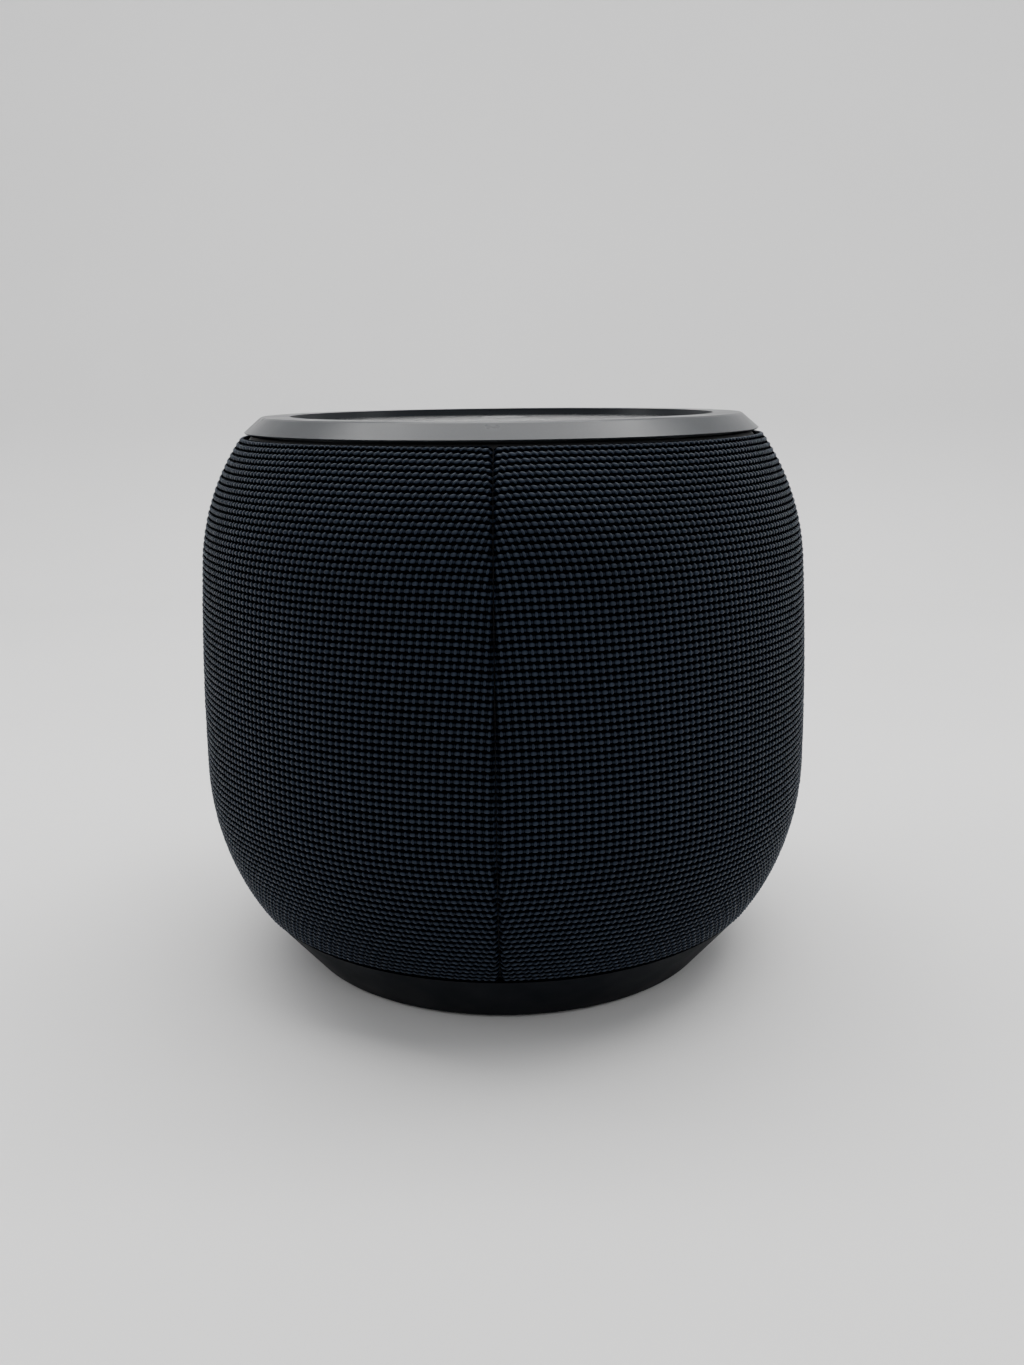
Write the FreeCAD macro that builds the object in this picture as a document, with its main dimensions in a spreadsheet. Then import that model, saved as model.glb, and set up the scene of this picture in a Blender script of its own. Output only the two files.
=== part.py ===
"""Smart home hub: a barrel-shaped, fabric-sleeved speaker hub with a recessed control top.

Frame: +Z up, origin at the centre of the surface that the foot ring stands on.  The sleeve's front
seam faces -Y, and the power socket faces +Y.  All lengths are millimetres, all angles degrees.
"""

import FreeCAD
import Part
import Sketcher
import math
import os
from FreeCAD import Placement, Rotation, Vector

doc = FreeCAD.newDocument("smart_home_hub")
sheet = doc.addObject("Spreadsheet::Sheet", "sizes")
AXIS_X, AXIS_Y, AXIS_Z = Vector(1, 0, 0), Vector(0, 1, 0), Vector(0, 0, 1)


# ---------------------------------------------------------------- sizes

class Size:
    """A length that carries both its present value and the spreadsheet expression that gives it."""

    def __init__(self, value, text):
        self.value = float(value)
        self.text = text

    @staticmethod
    def of(number):
        return number if isinstance(number, Size) else Size(number, repr(float(number)))

    def joined(self, other, sign, value):
        return Size(value, f"({self.text} {sign} {other.text})")

    def __add__(self, other):
        other = Size.of(other)
        return self.joined(other, "+", self.value + other.value)

    def __sub__(self, other):
        other = Size.of(other)
        return self.joined(other, "-", self.value - other.value)

    def __mul__(self, other):
        other = Size.of(other)
        return self.joined(other, "*", self.value * other.value)

    def __truediv__(self, other):
        other = Size.of(other)
        return self.joined(other, "/", self.value / other.value)

    def __radd__(self, other):
        return Size.of(other) + self

    def __rsub__(self, other):
        return Size.of(other) - self

    def __rmul__(self, other):
        return Size.of(other) * self

    def __neg__(self):
        return Size.of(0) - self


def root(size):
    return Size(math.sqrt(size.value), f"sqrt({size.text})")


def cell(alias, value):
    """Adds one driving dimension to the spreadsheet."""
    cell.row += 1
    sheet.set(f"A{cell.row}", alias)
    sheet.set(f"B{cell.row}", str(value))
    sheet.setAlias(f"B{cell.row}", alias)
    return Size(value, f"sizes.{alias}")


cell.row = 0

# Outer form
body_dia = cell("body_dia", 128)
total_height = cell("total_height", 114.4)
waist_bottom_z = cell("waist_bottom_z", 42.8)
waist_height = cell("waist_height", 42.8)
waist_bow_rad = cell("waist_bow_rad", 587)
soft_turn_rad = cell("soft_turn_rad", 54.4)
soft_turn_drop = cell("soft_turn_drop", 24)
sleeve_foot_rad = cell("sleeve_foot_rad", 54.8)
sleeve_thick = cell("sleeve_thick", 1.4)
seam_gap = cell("seam_gap", 0.8)
cage_thick = cell("cage_thick", 2)
# Rim and control top
rim_flat_dia = cell("rim_flat_dia", 99)
rim_skirt_dia = cell("rim_skirt_dia", 105.6)
rim_bevel_height = cell("rim_bevel_height", 3.2)
rim_bore_dia = cell("rim_bore_dia", 87.2)
rim_spigot_thick = cell("rim_spigot_thick", 2.5)
rim_spigot_depth = cell("rim_spigot_depth", 3)
rim_seat_thick = cell("rim_seat_thick", 4.4)
recess_depth = cell("recess_depth", 1.35)
panel_dia = cell("panel_dia", 82.8)
panel_thick = cell("panel_thick", 1.5)
light_ledge = cell("light_ledge", 1.8)
light_flange_thick = cell("light_flange_thick", 0.8)
collar_thick = cell("collar_thick", 2)
tray_thick = cell("tray_thick", 2)
tray_boss_height = cell("tray_boss_height", 1.8)
board_thick = cell("board_thick", 1.2)
key_dia = cell("key_dia", 11)
key_circle_dia = cell("key_circle_dia", 46)
key_gap = cell("key_gap", 0.2)
key_travel = cell("key_travel", 0.5)
key_flange = cell("key_flange", 1.1)
key_flange_thick = cell("key_flange_thick", 0.8)
mic_circle_dia = cell("mic_circle_dia", 66)
mic_hole_dia = cell("mic_hole_dia", 1.2)
led_circle_dia = cell("led_circle_dia", 81.4)
led_side = cell("led_side", 1.8)
# Base and foot
foot_proud = cell("foot_proud", 0.8)
foot_seat = cell("foot_seat", 0.8)
foot_outer_dia = cell("foot_outer_dia", 87)
foot_inner_dia = cell("foot_inner_dia", 67)
base_height = cell("base_height", 12.6)
base_top_dia = cell("base_top_dia", 109.4)
base_bottom_dia = cell("base_bottom_dia", 90)
base_wall = cell("base_wall", 2)
base_floor = cell("base_floor", 1.4)
lay_gap = cell("lay_gap", 0.2)
reset_dia = cell("reset_dia", 3.8)
reset_travel = cell("reset_travel", 0.6)
reset_y = cell("reset_y", 12)
# Power socket and board
socket_width = cell("socket_width", 8.94)
socket_height = cell("socket_height", 3.26)
socket_length = cell("socket_length", 7.5)
socket_shell = cell("socket_shell", 0.3)
socket_gap = cell("socket_gap", 0.25)
power_board_width = cell("power_board_width", 28)
power_board_back_y = cell("power_board_back_y", 5)
power_board_front_y = cell("power_board_front_y", 44.8)
# Fasteners
screw_dia = cell("screw_dia", 2.5)
screw_head_dia = cell("screw_head_dia", 4.4)
screw_head_height = cell("screw_head_height", 1.4)
screw_gap = cell("screw_gap", 0.05)
boss_wall = cell("boss_wall", 1.75)
short_screw_length = cell("short_screw_length", 5)
long_screw_length = cell("long_screw_length", 9)
# Cage
cage_flange_thick = cell("cage_flange_thick", 2)
cage_flange_bore_dia = cell("cage_flange_bore_dia", 38)
cage_split_z = cell("cage_split_z", 62)
cage_lap = cell("cage_lap", 3)
cage_ledge_thick = cell("cage_ledge_thick", 3)
cage_ledge_bore_dia = cell("cage_ledge_bore_dia", 87)
window_width = cell("window_width", 5)
window_count = cell("window_count", 24)
# Driver
driver_dia = cell("driver_dia", 72)
driver_flange_thick = cell("driver_flange_thick", 2)
gasket_thick = cell("gasket_thick", 0.6)
driver_rim_width = cell("driver_rim_width", 6)
cone_depth = cell("cone_depth", 13)
cone_thick = cell("cone_thick", 0.6)
surround_width = cell("surround_width", 5)
cone_dia = driver_dia - (driver_rim_width + surround_width) * 2
surround_thick = cell("surround_thick", 0.5)
coil_dia = cell("coil_dia", 19.2)
former_thick = cell("former_thick", 0.3)
winding_thick = cell("winding_thick", 0.7)
winding_height = cell("winding_height", 7)
coil_gap = cell("coil_gap", 0.4)
driver_travel = cell("driver_travel", 3.5)
plate_thick = cell("plate_thick", 4)
magnet_height = cell("magnet_height", 8)
magnet_dia = cell("magnet_dia", 44)
magnet_bore_dia = cell("magnet_bore_dia", 26)
yoke_thick = cell("yoke_thick", 4)
spider_dia = cell("spider_dia", 44.8)
spider_thick = cell("spider_thick", 0.5)
# Acoustic chamber
chamber_dia = cell("chamber_dia", 100)
chamber_floor_z = cell("chamber_floor_z", 33)
chamber_height = cell("chamber_height", 55.5)
chamber_wall = cell("chamber_wall", 2.4)
chamber_floor = cell("chamber_floor", 3)
lid_thick = cell("lid_thick", 2.5)
flat_distance = cell("flat_distance", 43.5)
deflector_height = cell("deflector_height", 13)
deflector_dia = cell("deflector_dia", 45)
deflector_wall = cell("deflector_wall", 2)
# Passive radiators
radiator_dia = cell("radiator_dia", 47)
radiator_bore_dia = cell("radiator_bore_dia", 39)
radiator_frame_thick = cell("radiator_frame_thick", 3)
radiator_plate_dia = cell("radiator_plate_dia", 29)
radiator_plate_thick = cell("radiator_plate_thick", 2.4)
radiator_travel = cell("radiator_travel", 3.5)
# Main electronics
main_board_dia = cell("main_board_dia", 84)
standoff_height = cell("standoff_height", 4)
main_board_thick = cell("main_board_thick", 1.4)
shield_width = cell("shield_width", 26)
shield_depth = cell("shield_depth", 20)
shield_height = cell("shield_height", 2)
pad_thick = cell("pad_thick", 0.5)
spreader_thick = cell("spreader_thick", 1.5)
board_screw_circle_dia = cell("board_screw_circle_dia", 72)
antenna_width = cell("antenna_width", 18)
antenna_height = cell("antenna_height", 8)
antenna_thick = cell("antenna_thick", 0.8)
antenna_dist = cell("antenna_dist", 46)
# Wiring
power_lead_dia = cell("power_lead_dia", 2.4)
speaker_lead_dia = cell("speaker_lead_dia", 1.8)
flex_width = cell("flex_width", 10)
flex_thick = cell("flex_thick", 0.3)
flex_y = cell("flex_y", -31)
doc.recompute()

# Levels and radii that several pieces share
sleeve_foot_z = base_height + lay_gap
rim_skirt_z = total_height - rim_bevel_height
sleeve_top_z = rim_skirt_z - lay_gap * 1.5
panel_top_z = total_height - recess_depth
panel_bottom_z = panel_top_z - panel_thick
rim_seat_z = total_height - rim_seat_thick
collar_top_z = rim_seat_z - light_flange_thick
spigot_bottom_z = rim_seat_z - rim_spigot_depth + lay_gap * 2
control_top_z = rim_seat_z - 1.4
control_bottom_z = control_top_z - board_thick
tray_top_z = control_bottom_z - tray_boss_height
tray_bottom_z = tray_top_z - tray_thick
base_bottom_z = foot_proud
floor_top_z = base_bottom_z + base_floor
cage_bottom_z = base_height + lay_gap * 2
flange_top_z = cage_bottom_z + cage_flange_thick
chamber_top_z = chamber_floor_z + chamber_height
lid_top_z = chamber_top_z + lid_thick
main_bottom_z = lid_top_z + standoff_height
main_top_z = main_bottom_z + main_board_thick
shield_top_z = main_top_z + shield_height
spreader_bottom_z = shield_top_z + pad_thick
spreader_top_z = spreader_bottom_z + spreader_thick
screw_rad = screw_dia / 2
pilot_rad = screw_rad + screw_gap
head_rad = screw_head_dia / 2
collar_rad = rim_bore_dia / 2 - lay_gap
spigot_rad = collar_rad + collar_thick + lay_gap * 2
base_screw_rad = (foot_outer_dia + foot_inner_dia) / 4
deflector_screw_rad = Size.of(20.8)
tray_screw_rad = spigot_rad + rim_spigot_thick


# ---------------------------------------------------------------- the barrel's outline

body_rad = body_dia / 2
waist_top_z = waist_bottom_z + waist_height
turn_sine = soft_turn_drop / soft_turn_rad
turn_cosine = root(1 - turn_sine * turn_sine)
turn_rad = body_rad - soft_turn_rad * (1 - turn_cosine)
turn_z = waist_bottom_z - soft_turn_drop
foot_run = turn_rad - sleeve_foot_rad
foot_drop = turn_z - sleeve_foot_z
tight_turn_rad = (foot_run * foot_run + foot_drop * foot_drop) / (
    2 * (foot_run * turn_cosine - foot_drop * turn_sine))
tight_centre_rad = turn_rad - tight_turn_rad * turn_cosine
tight_centre_z = turn_z + tight_turn_rad * turn_sine
bow_sine = waist_height / waist_bow_rad
bow_cosine = root(1 - bow_sine * bow_sine)
bow_top_rad = body_rad - waist_bow_rad * (1 - bow_cosine)
top_run = bow_top_rad - (rim_skirt_dia / 2 + lay_gap)
top_rise = sleeve_top_z - waist_top_z
top_turn_rad = (top_run * top_run + top_rise * top_rise) / (
    2 * (top_run * bow_cosine - top_rise * bow_sine))
top_centre_rad = bow_top_rad - top_turn_rad * bow_cosine
top_centre_z = waist_top_z - top_turn_rad * bow_sine


def barrel_zones(inset):
    """The barrel's stretches from the foot up, inset along the normal: (upper end, centre, radius)."""
    soft_centre = body_rad - soft_turn_rad
    return [
        (turn_z + inset * turn_sine, (tight_centre_rad, tight_centre_z), tight_turn_rad - inset),
        (waist_bottom_z, (soft_centre, waist_bottom_z), soft_turn_rad - inset),
        (waist_top_z - inset * bow_sine, (body_rad - waist_bow_rad, waist_bottom_z),
         waist_bow_rad - inset),
        (total_height, (top_centre_rad, top_centre_z), top_turn_rad - inset),
    ]


def barrel_radius(z, inset):
    """The barrel's radius at height z, inset from the sleeve's outer face."""
    z, inset = Size.of(z), Size.of(inset)
    for upper, centre, radius in barrel_zones(inset):
        if z.value <= upper.value + 1e-6:
            break
    rise = z - centre[1]
    return centre[0] + root(radius * radius - rise * rise)


def barrel_path(low, high, inset):
    """Outline points up the barrel's side from height low to height high, at one inset."""
    low, high, inset = Size.of(low), Size.of(high), Size.of(inset)
    points = [(barrel_radius(low, inset), low)]
    for upper, centre, radius in barrel_zones(inset):
        if low.value >= upper.value - 1e-6:
            continue
        end = upper if upper.value < high.value else high
        x = barrel_radius(end, inset)
        points.append((x, end, radius))
        if end is high:
            break
    return points


def back_along(path):
    """The same outline points travelled the other way."""
    turned = [path[-1][:2]]
    for here, there in zip(path[-2::-1], path[:0:-1]):
        bend = (-Size.of(there[2]),) if len(there) == 3 else ()
        turned.append(here[:2] + bend)
    return turned


# ---------------------------------------------------------------- features

def new_body(label, groups=False):
    body = doc.addObject("PartDesign::Body", label)
    body.Label = label
    body.AllowCompound = groups
    return body


def sketch_on(body, plane="XZ_Plane", height=None):
    """A sketch on one of the body's own origin planes, raised by height along the plane's normal."""
    sketch = body.newObject("Sketcher::SketchObject", body.Name + "_sketch")
    support = next(f for f in body.Origin.OriginFeatures if f.Role == plane)
    sketch.AttachmentSupport = [(support, "")]
    sketch.MapMode = "FlatFace"
    if height is not None:
        sketch.setExpression(".AttachmentOffset.Base.z", Size.of(height).text)
    return sketch


def bind(sketch, constraint, size):
    index = sketch.addConstraint(constraint)
    sketch.setExpression(f"Constraints[{index}]", size.text)


def pin(sketch, geometry, end, x, y):
    """Holds one point of the sketch at x, y from its origin."""
    for kind, size in (("DistanceX", x), ("DistanceY", y)):
        bind(sketch, Sketcher.Constraint(kind, -1, 1, geometry, end, size.value), size)


def draw_outline(sketch, points):
    """A closed outline.  A point (x, y) ends a line, and (x, y, r) ends an arc of radius r that
    bulges to the right of the way it is travelled, or to the left where r is negative."""
    points = [tuple(Size.of(v) for v in p) for p in points]
    edges = []
    for here, there in zip(points, points[1:] + points[:1]):
        a = Vector(here[0].value, here[1].value, 0)
        b = Vector(there[0].value, there[1].value, 0)
        if len(there) == 2:
            edge = sketch.addGeometry(Part.LineSegment(a, b), False)
        else:
            bend, half = there[2].value, (b - a).Length / 2
            left = Vector(a.y - b.y, b.x - a.x, 0).normalize()
            reach = math.sqrt(max(bend * bend - half * half, 0))
            centre = (a + b) / 2 + left * math.copysign(reach, bend)
            low, high = (a, b) if bend > 0 else (b, a)
            first = math.atan2(low.y - centre.y, low.x - centre.x)
            last = math.atan2(high.y - centre.y, high.x - centre.x)
            circle = Part.Circle(centre, AXIS_Z, abs(bend))
            last = last if last > first else last + 2 * math.pi
            edge = sketch.addGeometry(Part.ArcOfCircle(circle, first, last), False)
        start = 1 if (sketch.Geometry[edge].StartPoint - a).Length < 1e-5 else 2
        edges.append((edge, start))
    for k, (edge, start) in enumerate(edges):
        following, its_start = edges[(k + 1) % len(edges)]
        join = Sketcher.Constraint("Coincident", edge, 3 - start, following, its_start)
        sketch.addConstraint(join)
        pin(sketch, edge, start, points[k][0], points[k][1])
        target = points[(k + 1) % len(points)]
        if len(target) == 3:
            radius = target[2] if target[2].value > 0 else -target[2]
            bind(sketch, Sketcher.Constraint("Radius", edge, radius.value), radius)


def draw_circle(sketch, x, y, radius):
    x, y, radius = Size.of(x), Size.of(y), Size.of(radius)
    middle = Vector(x.value, y.value, 0)
    edge = sketch.addGeometry(Part.Circle(middle, AXIS_Z, radius.value), False)
    pin(sketch, edge, 3, x, y)
    bind(sketch, Sketcher.Constraint("Radius", edge, radius.value), radius)


def draw_box(sketch, x0, x1, y0, y1):
    draw_outline(sketch, [(x0, y0), (x1, y0), (x1, y1), (x0, y1)])


def draw_pill(sketch, x, y, width, height):
    """A slot with full-round ends, centred on x, y and long in x."""
    x, y, end = Size.of(x), Size.of(y), height / 2
    half = width / 2 - end
    low, high = y - end, y + end
    bend = end * 1.0001
    draw_outline(sketch, [
        (x - half, low, bend), (x + half, low), (x + half, high, bend), (x - half, high)])


def feature(body, kind, name):
    made = body.newObject("PartDesign::" + kind, f"{body.Name}_{name}")
    return made


def turned(body, points, cut=False):
    """A full turn of an outline in the XZ plane about Z."""
    sketch = sketch_on(body)
    draw_outline(sketch, points)
    doc.recompute()
    before = 0 if body.Shape.isNull() else body.Shape.Volume
    made = feature(body, "Groove" if cut else "Revolution", "groove" if cut else "turn")
    made.Profile = sketch
    made.ReferenceAxis = (sketch, ["V_Axis"])
    made.Angle = 360
    doc.recompute()
    must_change(body, before, cut)
    return made


def must_change(body, before, cut):
    """Stops the build if a feature did nothing or went the wrong way."""
    now = body.Shape.Volume
    if (now >= before - 1e-6) if cut else (now <= before + 1e-6):
        raise RuntimeError(f"{body.Label}: a feature changed nothing ({before:.3f} to {now:.3f})")


def pushed(body, sketch, length, cut=False, flip=False, both=False):
    """A pad or a pocket of the sketch, flipped to go against the plane's normal."""
    doc.recompute()
    before = 0 if body.Shape.isNull() else body.Shape.Volume
    made = feature(body, "Pocket" if cut else "Pad", "pocket" if cut else "pad")
    made.Profile = sketch
    made.setExpression("Length", Size.of(length).text)
    made.Reversed = flip != cut
    made.Midplane = both
    doc.recompute()
    must_change(body, before, cut)
    return made


def repeated(body, made, count, angle=360):
    """A feature, repeated round Z."""
    pattern = feature(body, "PolarPattern", "round")
    pattern.Originals = [made]
    pattern.Axis = (made.Profile[0], ["N_Axis"]) if round_z(made) else (made.Profile[0], ["V_Axis"])
    pattern.Angle = angle
    if isinstance(count, Size):
        pattern.setExpression("Occurrences", count.text)
    else:
        pattern.Occurrences = count
    body.Tip = pattern
    doc.recompute()
    return pattern


def round_z(made):
    """Whether a feature's sketch lies flat, so that its own normal is Z."""
    return made.Profile[0].AttachmentSupport[0][0].Role == "XY_Plane"


def pins_round(body, radius, circle_rad, low, high, count, start=0, cut=False):
    """Round posts or holes of one radius, spaced round Z, from height low to height high."""
    sketch = sketch_on(body, "XY_Plane", low)
    angle = math.radians(start)
    x = circle_rad * round(math.cos(angle), 9)
    y = circle_rad * round(math.sin(angle), 9)
    draw_circle(sketch, x, y, radius)
    made = pushed(body, sketch, high - low, cut)
    return repeated(body, made, count) if count > 1 else made


def disc(label, outer, low, high, inner=None):
    """A flat disc or ring about Z."""
    body = new_body(label)
    inner = Size.of(0) if inner is None else inner
    turned(body, [(inner, low), (outer, low), (outer, high), (inner, high)])
    return body


def screws(label, length, groups):
    """Identical pan-head screws, in rings about Z: (ring radius, height of the heads' seat, count,
    start angle, way), with way 1 where they are driven upwards and -1 where driven down."""
    body = new_body(label, groups=True)
    for circle_rad, seat_z, count, start, way in groups:
        angle = math.radians(start)
        x = circle_rad * round(math.cos(angle), 9)
        y = circle_rad * round(math.sin(angle), 9)
        shank = sketch_on(body, "XY_Plane", seat_z)
        draw_circle(shank, x, y, screw_rad)
        head = sketch_on(body, "XY_Plane", seat_z)
        draw_circle(head, x, y, head_rad)
        slots = []
        for wide, tall in ((1.1, 0.25), (0.25, 1.1)):
            slot = sketch_on(body, "XY_Plane", seat_z - screw_head_height * way)
            draw_box(slot, x - wide, x + wide, y - tall, y + tall)
            slots.append(slot)
        made = [pushed(body, shank, length, flip=way < 0),
                pushed(body, head, screw_head_height, flip=way > 0)]
        made += [pushed(body, slot, screw_head_height / 2, cut=True, flip=way < 0)
                 for slot in slots]
        pattern = feature(body, "PolarPattern", "round")
        pattern.Originals = made
        pattern.Axis = (shank, ["N_Axis"])
        pattern.Angle = 360
        pattern.Occurrences = count
        body.Tip = pattern
        doc.recompute()
    return body


def place(body, x=None, y=None, z=None, turn=None):
    """Puts a body where the sizes say."""
    if turn is not None:
        body.Placement = Placement(Vector(), turn)
    for axis, size in zip("xyz", (x, y, z)):
        if size is not None:
            body.setExpression(f".Placement.Base.{axis}", Size.of(size).text)
    doc.recompute()
    return body


# ---------------------------------------------------------------- outer skin and cage

def make_sleeve():
    """Woven sleeve of two panels, stretched over the cage, which meet in a seam at -Y and at +Y."""
    outer = barrel_path(sleeve_foot_z, sleeve_top_z, 0)
    inner = barrel_path(sleeve_foot_z, sleeve_top_z, sleeve_thick)
    for label, way in (("fabric_panel_left", -1), ("fabric_panel_right", 1)):
        body = new_body(label)
        turned(body, outer + back_along(inner))
        beyond(body, seam_gap / 2, -way)


def beyond(body, distance, way):
    """Cuts away what lies past a plane across X, toward +X or -X, keeping distance of the far
    side of the axis where way points back over it."""
    edge = sketch_on(body, "YZ_Plane", -distance * way)
    draw_box(edge, -body_dia, body_dia, -total_height, total_height * 2)
    pushed(body, edge, body_dia, cut=True, flip=way < 0)


def make_seam_strips():
    """Thin backing strips in the cage's grooves, to which the panels' edges are bonded."""
    body = new_body("seam_strips", groups=True)
    groove = sleeve_thick + strip_thick
    outer = barrel_path(strip_low_z, strip_high_z, sleeve_thick)
    inner = barrel_path(strip_low_z, strip_high_z, groove)
    turned(body, outer + back_along(inner))
    keep_strips(body, strip_width / 2 - strip_gap)


def keep_strips(body, half_width):
    """Cuts a turned skin down to two upright strips, at -Y and at +Y."""
    for way in (1, -1):
        beyond(body, -half_width, way)


strip_width = Size.of(8)
strip_gap = Size.of(0.1)
strip_thick = Size.of(0.4)
strip_low_z = sleeve_foot_z + 4
strip_high_z = sleeve_top_z - 3


lap_rad = barrel_radius(cage_split_z, sleeve_thick + cage_thick / 2)


def windows(body, low, high):
    """Upright sound windows round the cage between two heights."""
    sketch = sketch_on(body)
    draw_box(sketch, -window_width / 2, window_width / 2, low, high)
    repeated(body, pushed(body, sketch, body_dia, cut=True, flip=True), window_count)


def make_lower_cage():
    body = new_body("grille_cage_lower")
    inset = sleeve_thick + cage_thick
    ledge_low = chamber_floor_z - cage_ledge_thick
    ledge_rad = cage_ledge_bore_dia / 2
    outer = barrel_path(cage_bottom_z, cage_split_z, sleeve_thick)
    lip_top = cage_split_z + cage_lap
    upper_inside = back_along(barrel_path(chamber_floor_z, lip_top, inset))
    lower_inside = back_along(barrel_path(flange_top_z, ledge_low, inset))
    turned(body, outer
           + [(lap_rad - lay_gap / 4, cage_split_z), (lap_rad - lay_gap / 4, lip_top)]
           + upper_inside
           + [(ledge_rad, chamber_floor_z), (ledge_rad, ledge_low)]
           + lower_inside
           + [(cage_flange_bore_dia / 2, flange_top_z), (cage_flange_bore_dia / 2, cage_bottom_z)])
    windows(body, flange_top_z + 4, ledge_low - 2)
    windows(body, chamber_floor_z + 4, cage_split_z - 4)
    pins_round(body, pilot_rad, base_screw_rad, cage_bottom_z, flange_top_z, 4, 45, cut=True)
    pins_round(body, pilot_rad, deflector_screw_rad, cage_bottom_z, flange_top_z, 3, 30, cut=True)
    pins_round(body, pilot_rad, chamber_screw_rad, ledge_low, chamber_floor_z, 4, 45, cut=True)
    notch_for_lead(body)
    cut_strip_groove(body)


def notch_for_lead(body):
    """Clearance for the power lead, through the flange and the ledge."""
    angle = math.radians(lead_angle)
    hole = sketch_on(body, "XY_Plane", cage_bottom_z)
    x, y = lead_start_rad * math.cos(angle), lead_start_rad * math.sin(angle)
    draw_circle(hole, x, y, power_lead_dia)
    pushed(body, hole, cage_flange_thick, cut=True)
    slot = sketch_on(body, "XY_Plane", chamber_floor_z - cage_ledge_thick)
    half, reach = power_lead_dia, body_rad - sleeve_thick - cage_thick * 2 - 1.2
    inner = cage_ledge_bore_dia / 2 - 4
    across = Vector(-math.sin(angle), math.cos(angle))
    corners = []
    for along, side in ((inner, -1), (reach, -1), (reach, 1), (inner, 1)):
        corners.append((along * math.cos(angle) + half * side * across.x,
                        along * math.sin(angle) + half * side * across.y))
    draw_outline(slot, corners)
    pushed(body, slot, cage_ledge_thick, cut=True)


def cut_strip_groove(body):
    """Shallow grooves down the cage behind the two seams."""
    low, high = strip_low_z - strip_gap, strip_high_z + strip_gap
    top = high if body.Label.endswith("upper") else cage_split_z
    bottom = low if body.Label.endswith("lower") else cage_split_z
    tool = new_body(body.Label + "_groove", groups=True)
    skin = sleeve_thick + strip_thick + strip_gap
    outer = barrel_path(bottom, top, 0)
    inner = barrel_path(bottom, top, skin)
    turned(tool, outer + back_along(inner))
    keep_strips(tool, strip_width / 2)
    cut = feature(body, "Boolean", "groove")
    cut.Type = "Cut"
    cut.setObjects([tool])
    doc.recompute()


def make_upper_cage():
    body = new_body("grille_cage_upper")
    inset = sleeve_thick + cage_thick
    lip_top = cage_split_z + cage_lap + lay_gap
    top_z = sleeve_top_z - lay_gap
    outer = barrel_path(cage_split_z, top_z, sleeve_thick)
    ledge_rad = tray_screw_rad - head_rad - 0.4
    above = back_along(barrel_path(tray_bottom_z, top_z, inset))
    below = back_along(barrel_path(lip_top, tray_bottom_z - 2, inset))
    turned(body, outer + above
           + [(ledge_rad, tray_bottom_z), (ledge_rad, tray_bottom_z - 2)]
           + below
           + [(lap_rad, lip_top), (lap_rad, cage_split_z)])
    windows(body, lip_top + 4, tray_bottom_z - 6)
    pins_round(body, pilot_rad, tray_screw_rad, tray_bottom_z - 2, tray_bottom_z, 4, 45, cut=True)
    cut_strip_groove(body)


# ---------------------------------------------------------------- base

def make_base_cover():
    """The tapered ring under the sleeve, closed below, with the socket's opening at +Y."""
    body = new_body("base_cover")
    low, top = base_bottom_dia / 2, base_top_dia / 2
    seat_z = base_bottom_z + foot_seat
    seat_out, seat_in = foot_outer_dia / 2 + lay_gap / 2, foot_inner_dia / 2 - lay_gap / 2
    turned(body, [
        (0, base_bottom_z), (seat_in, base_bottom_z), (seat_in, seat_z), (seat_out, seat_z),
        (seat_out, base_bottom_z), (low, base_bottom_z), (top, base_height),
        (top - base_wall, base_height), (low - base_wall / 2, floor_top_z + 0.6),
        (0, floor_top_z + 0.6)])
    boss_rad = pilot_rad + boss_wall
    pins_round(body, head_rad + 0.2 + boss_wall * 0.7, base_screw_rad, floor_top_z, cage_bottom_z,
               4, 45)
    pins_round(body, pilot_rad, base_screw_rad, seat_z, cage_bottom_z, 4, 45, cut=True)
    pins_round(body, head_rad + 0.2, base_screw_rad, seat_z, base_screw_seat_z, 4, 45, cut=True)
    posts = sketch_on(body, "XY_Plane", floor_top_z)
    for side in (-1, 1):
        draw_circle(posts, power_screw_x * side, power_screw_y, boss_rad)
    pushed(body, posts, power_board_bottom_z - floor_top_z)
    holes = sketch_on(body, "XY_Plane", floor_top_z + 1)
    for side in (-1, 1):
        draw_circle(holes, power_screw_x * side, power_screw_y, pilot_rad)
    pushed(body, holes, power_board_bottom_z - floor_top_z - 1, cut=True)
    reset = sketch_on(body, "XY_Plane", base_bottom_z)
    draw_circle(reset, 0, reset_y, reset_dia / 2 + key_gap)
    pushed(body, reset, base_floor + 1, cut=True)
    opening = sketch_on(body)
    draw_pill(opening, 0, socket_z, socket_width + socket_gap * 2, socket_height + socket_gap * 2)
    pushed(body, opening, body_dia, cut=True, flip=True)


base_screw_seat_z = cage_bottom_z - short_screw_length + 1.2
power_board_top_z = base_height
power_board_bottom_z = power_board_top_z - 1
socket_z = power_board_bottom_z - socket_height / 2
socket_low_z = socket_z - socket_height / 2
base_slope = (base_top_dia - base_bottom_dia) / 2 / (base_height - base_bottom_z)
socket_front_y = base_bottom_dia / 2 + base_slope * (socket_low_z - base_bottom_z) - 0.4
power_screw_x = Size.of(10.5)
power_screw_y = Size.of(8.5)


def make_foot():
    """Rubber ring bonded into the base's seat."""
    inner, outer = foot_inner_dia / 2, foot_outer_dia / 2
    body = new_body("foot_ring")
    edge = Size.of(0.3)
    top = base_bottom_z + foot_seat
    turned(body, [
        (inner + edge, 0), (outer - edge, 0), (outer, edge), (outer, top), (inner, top),
        (inner, edge)])


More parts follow.
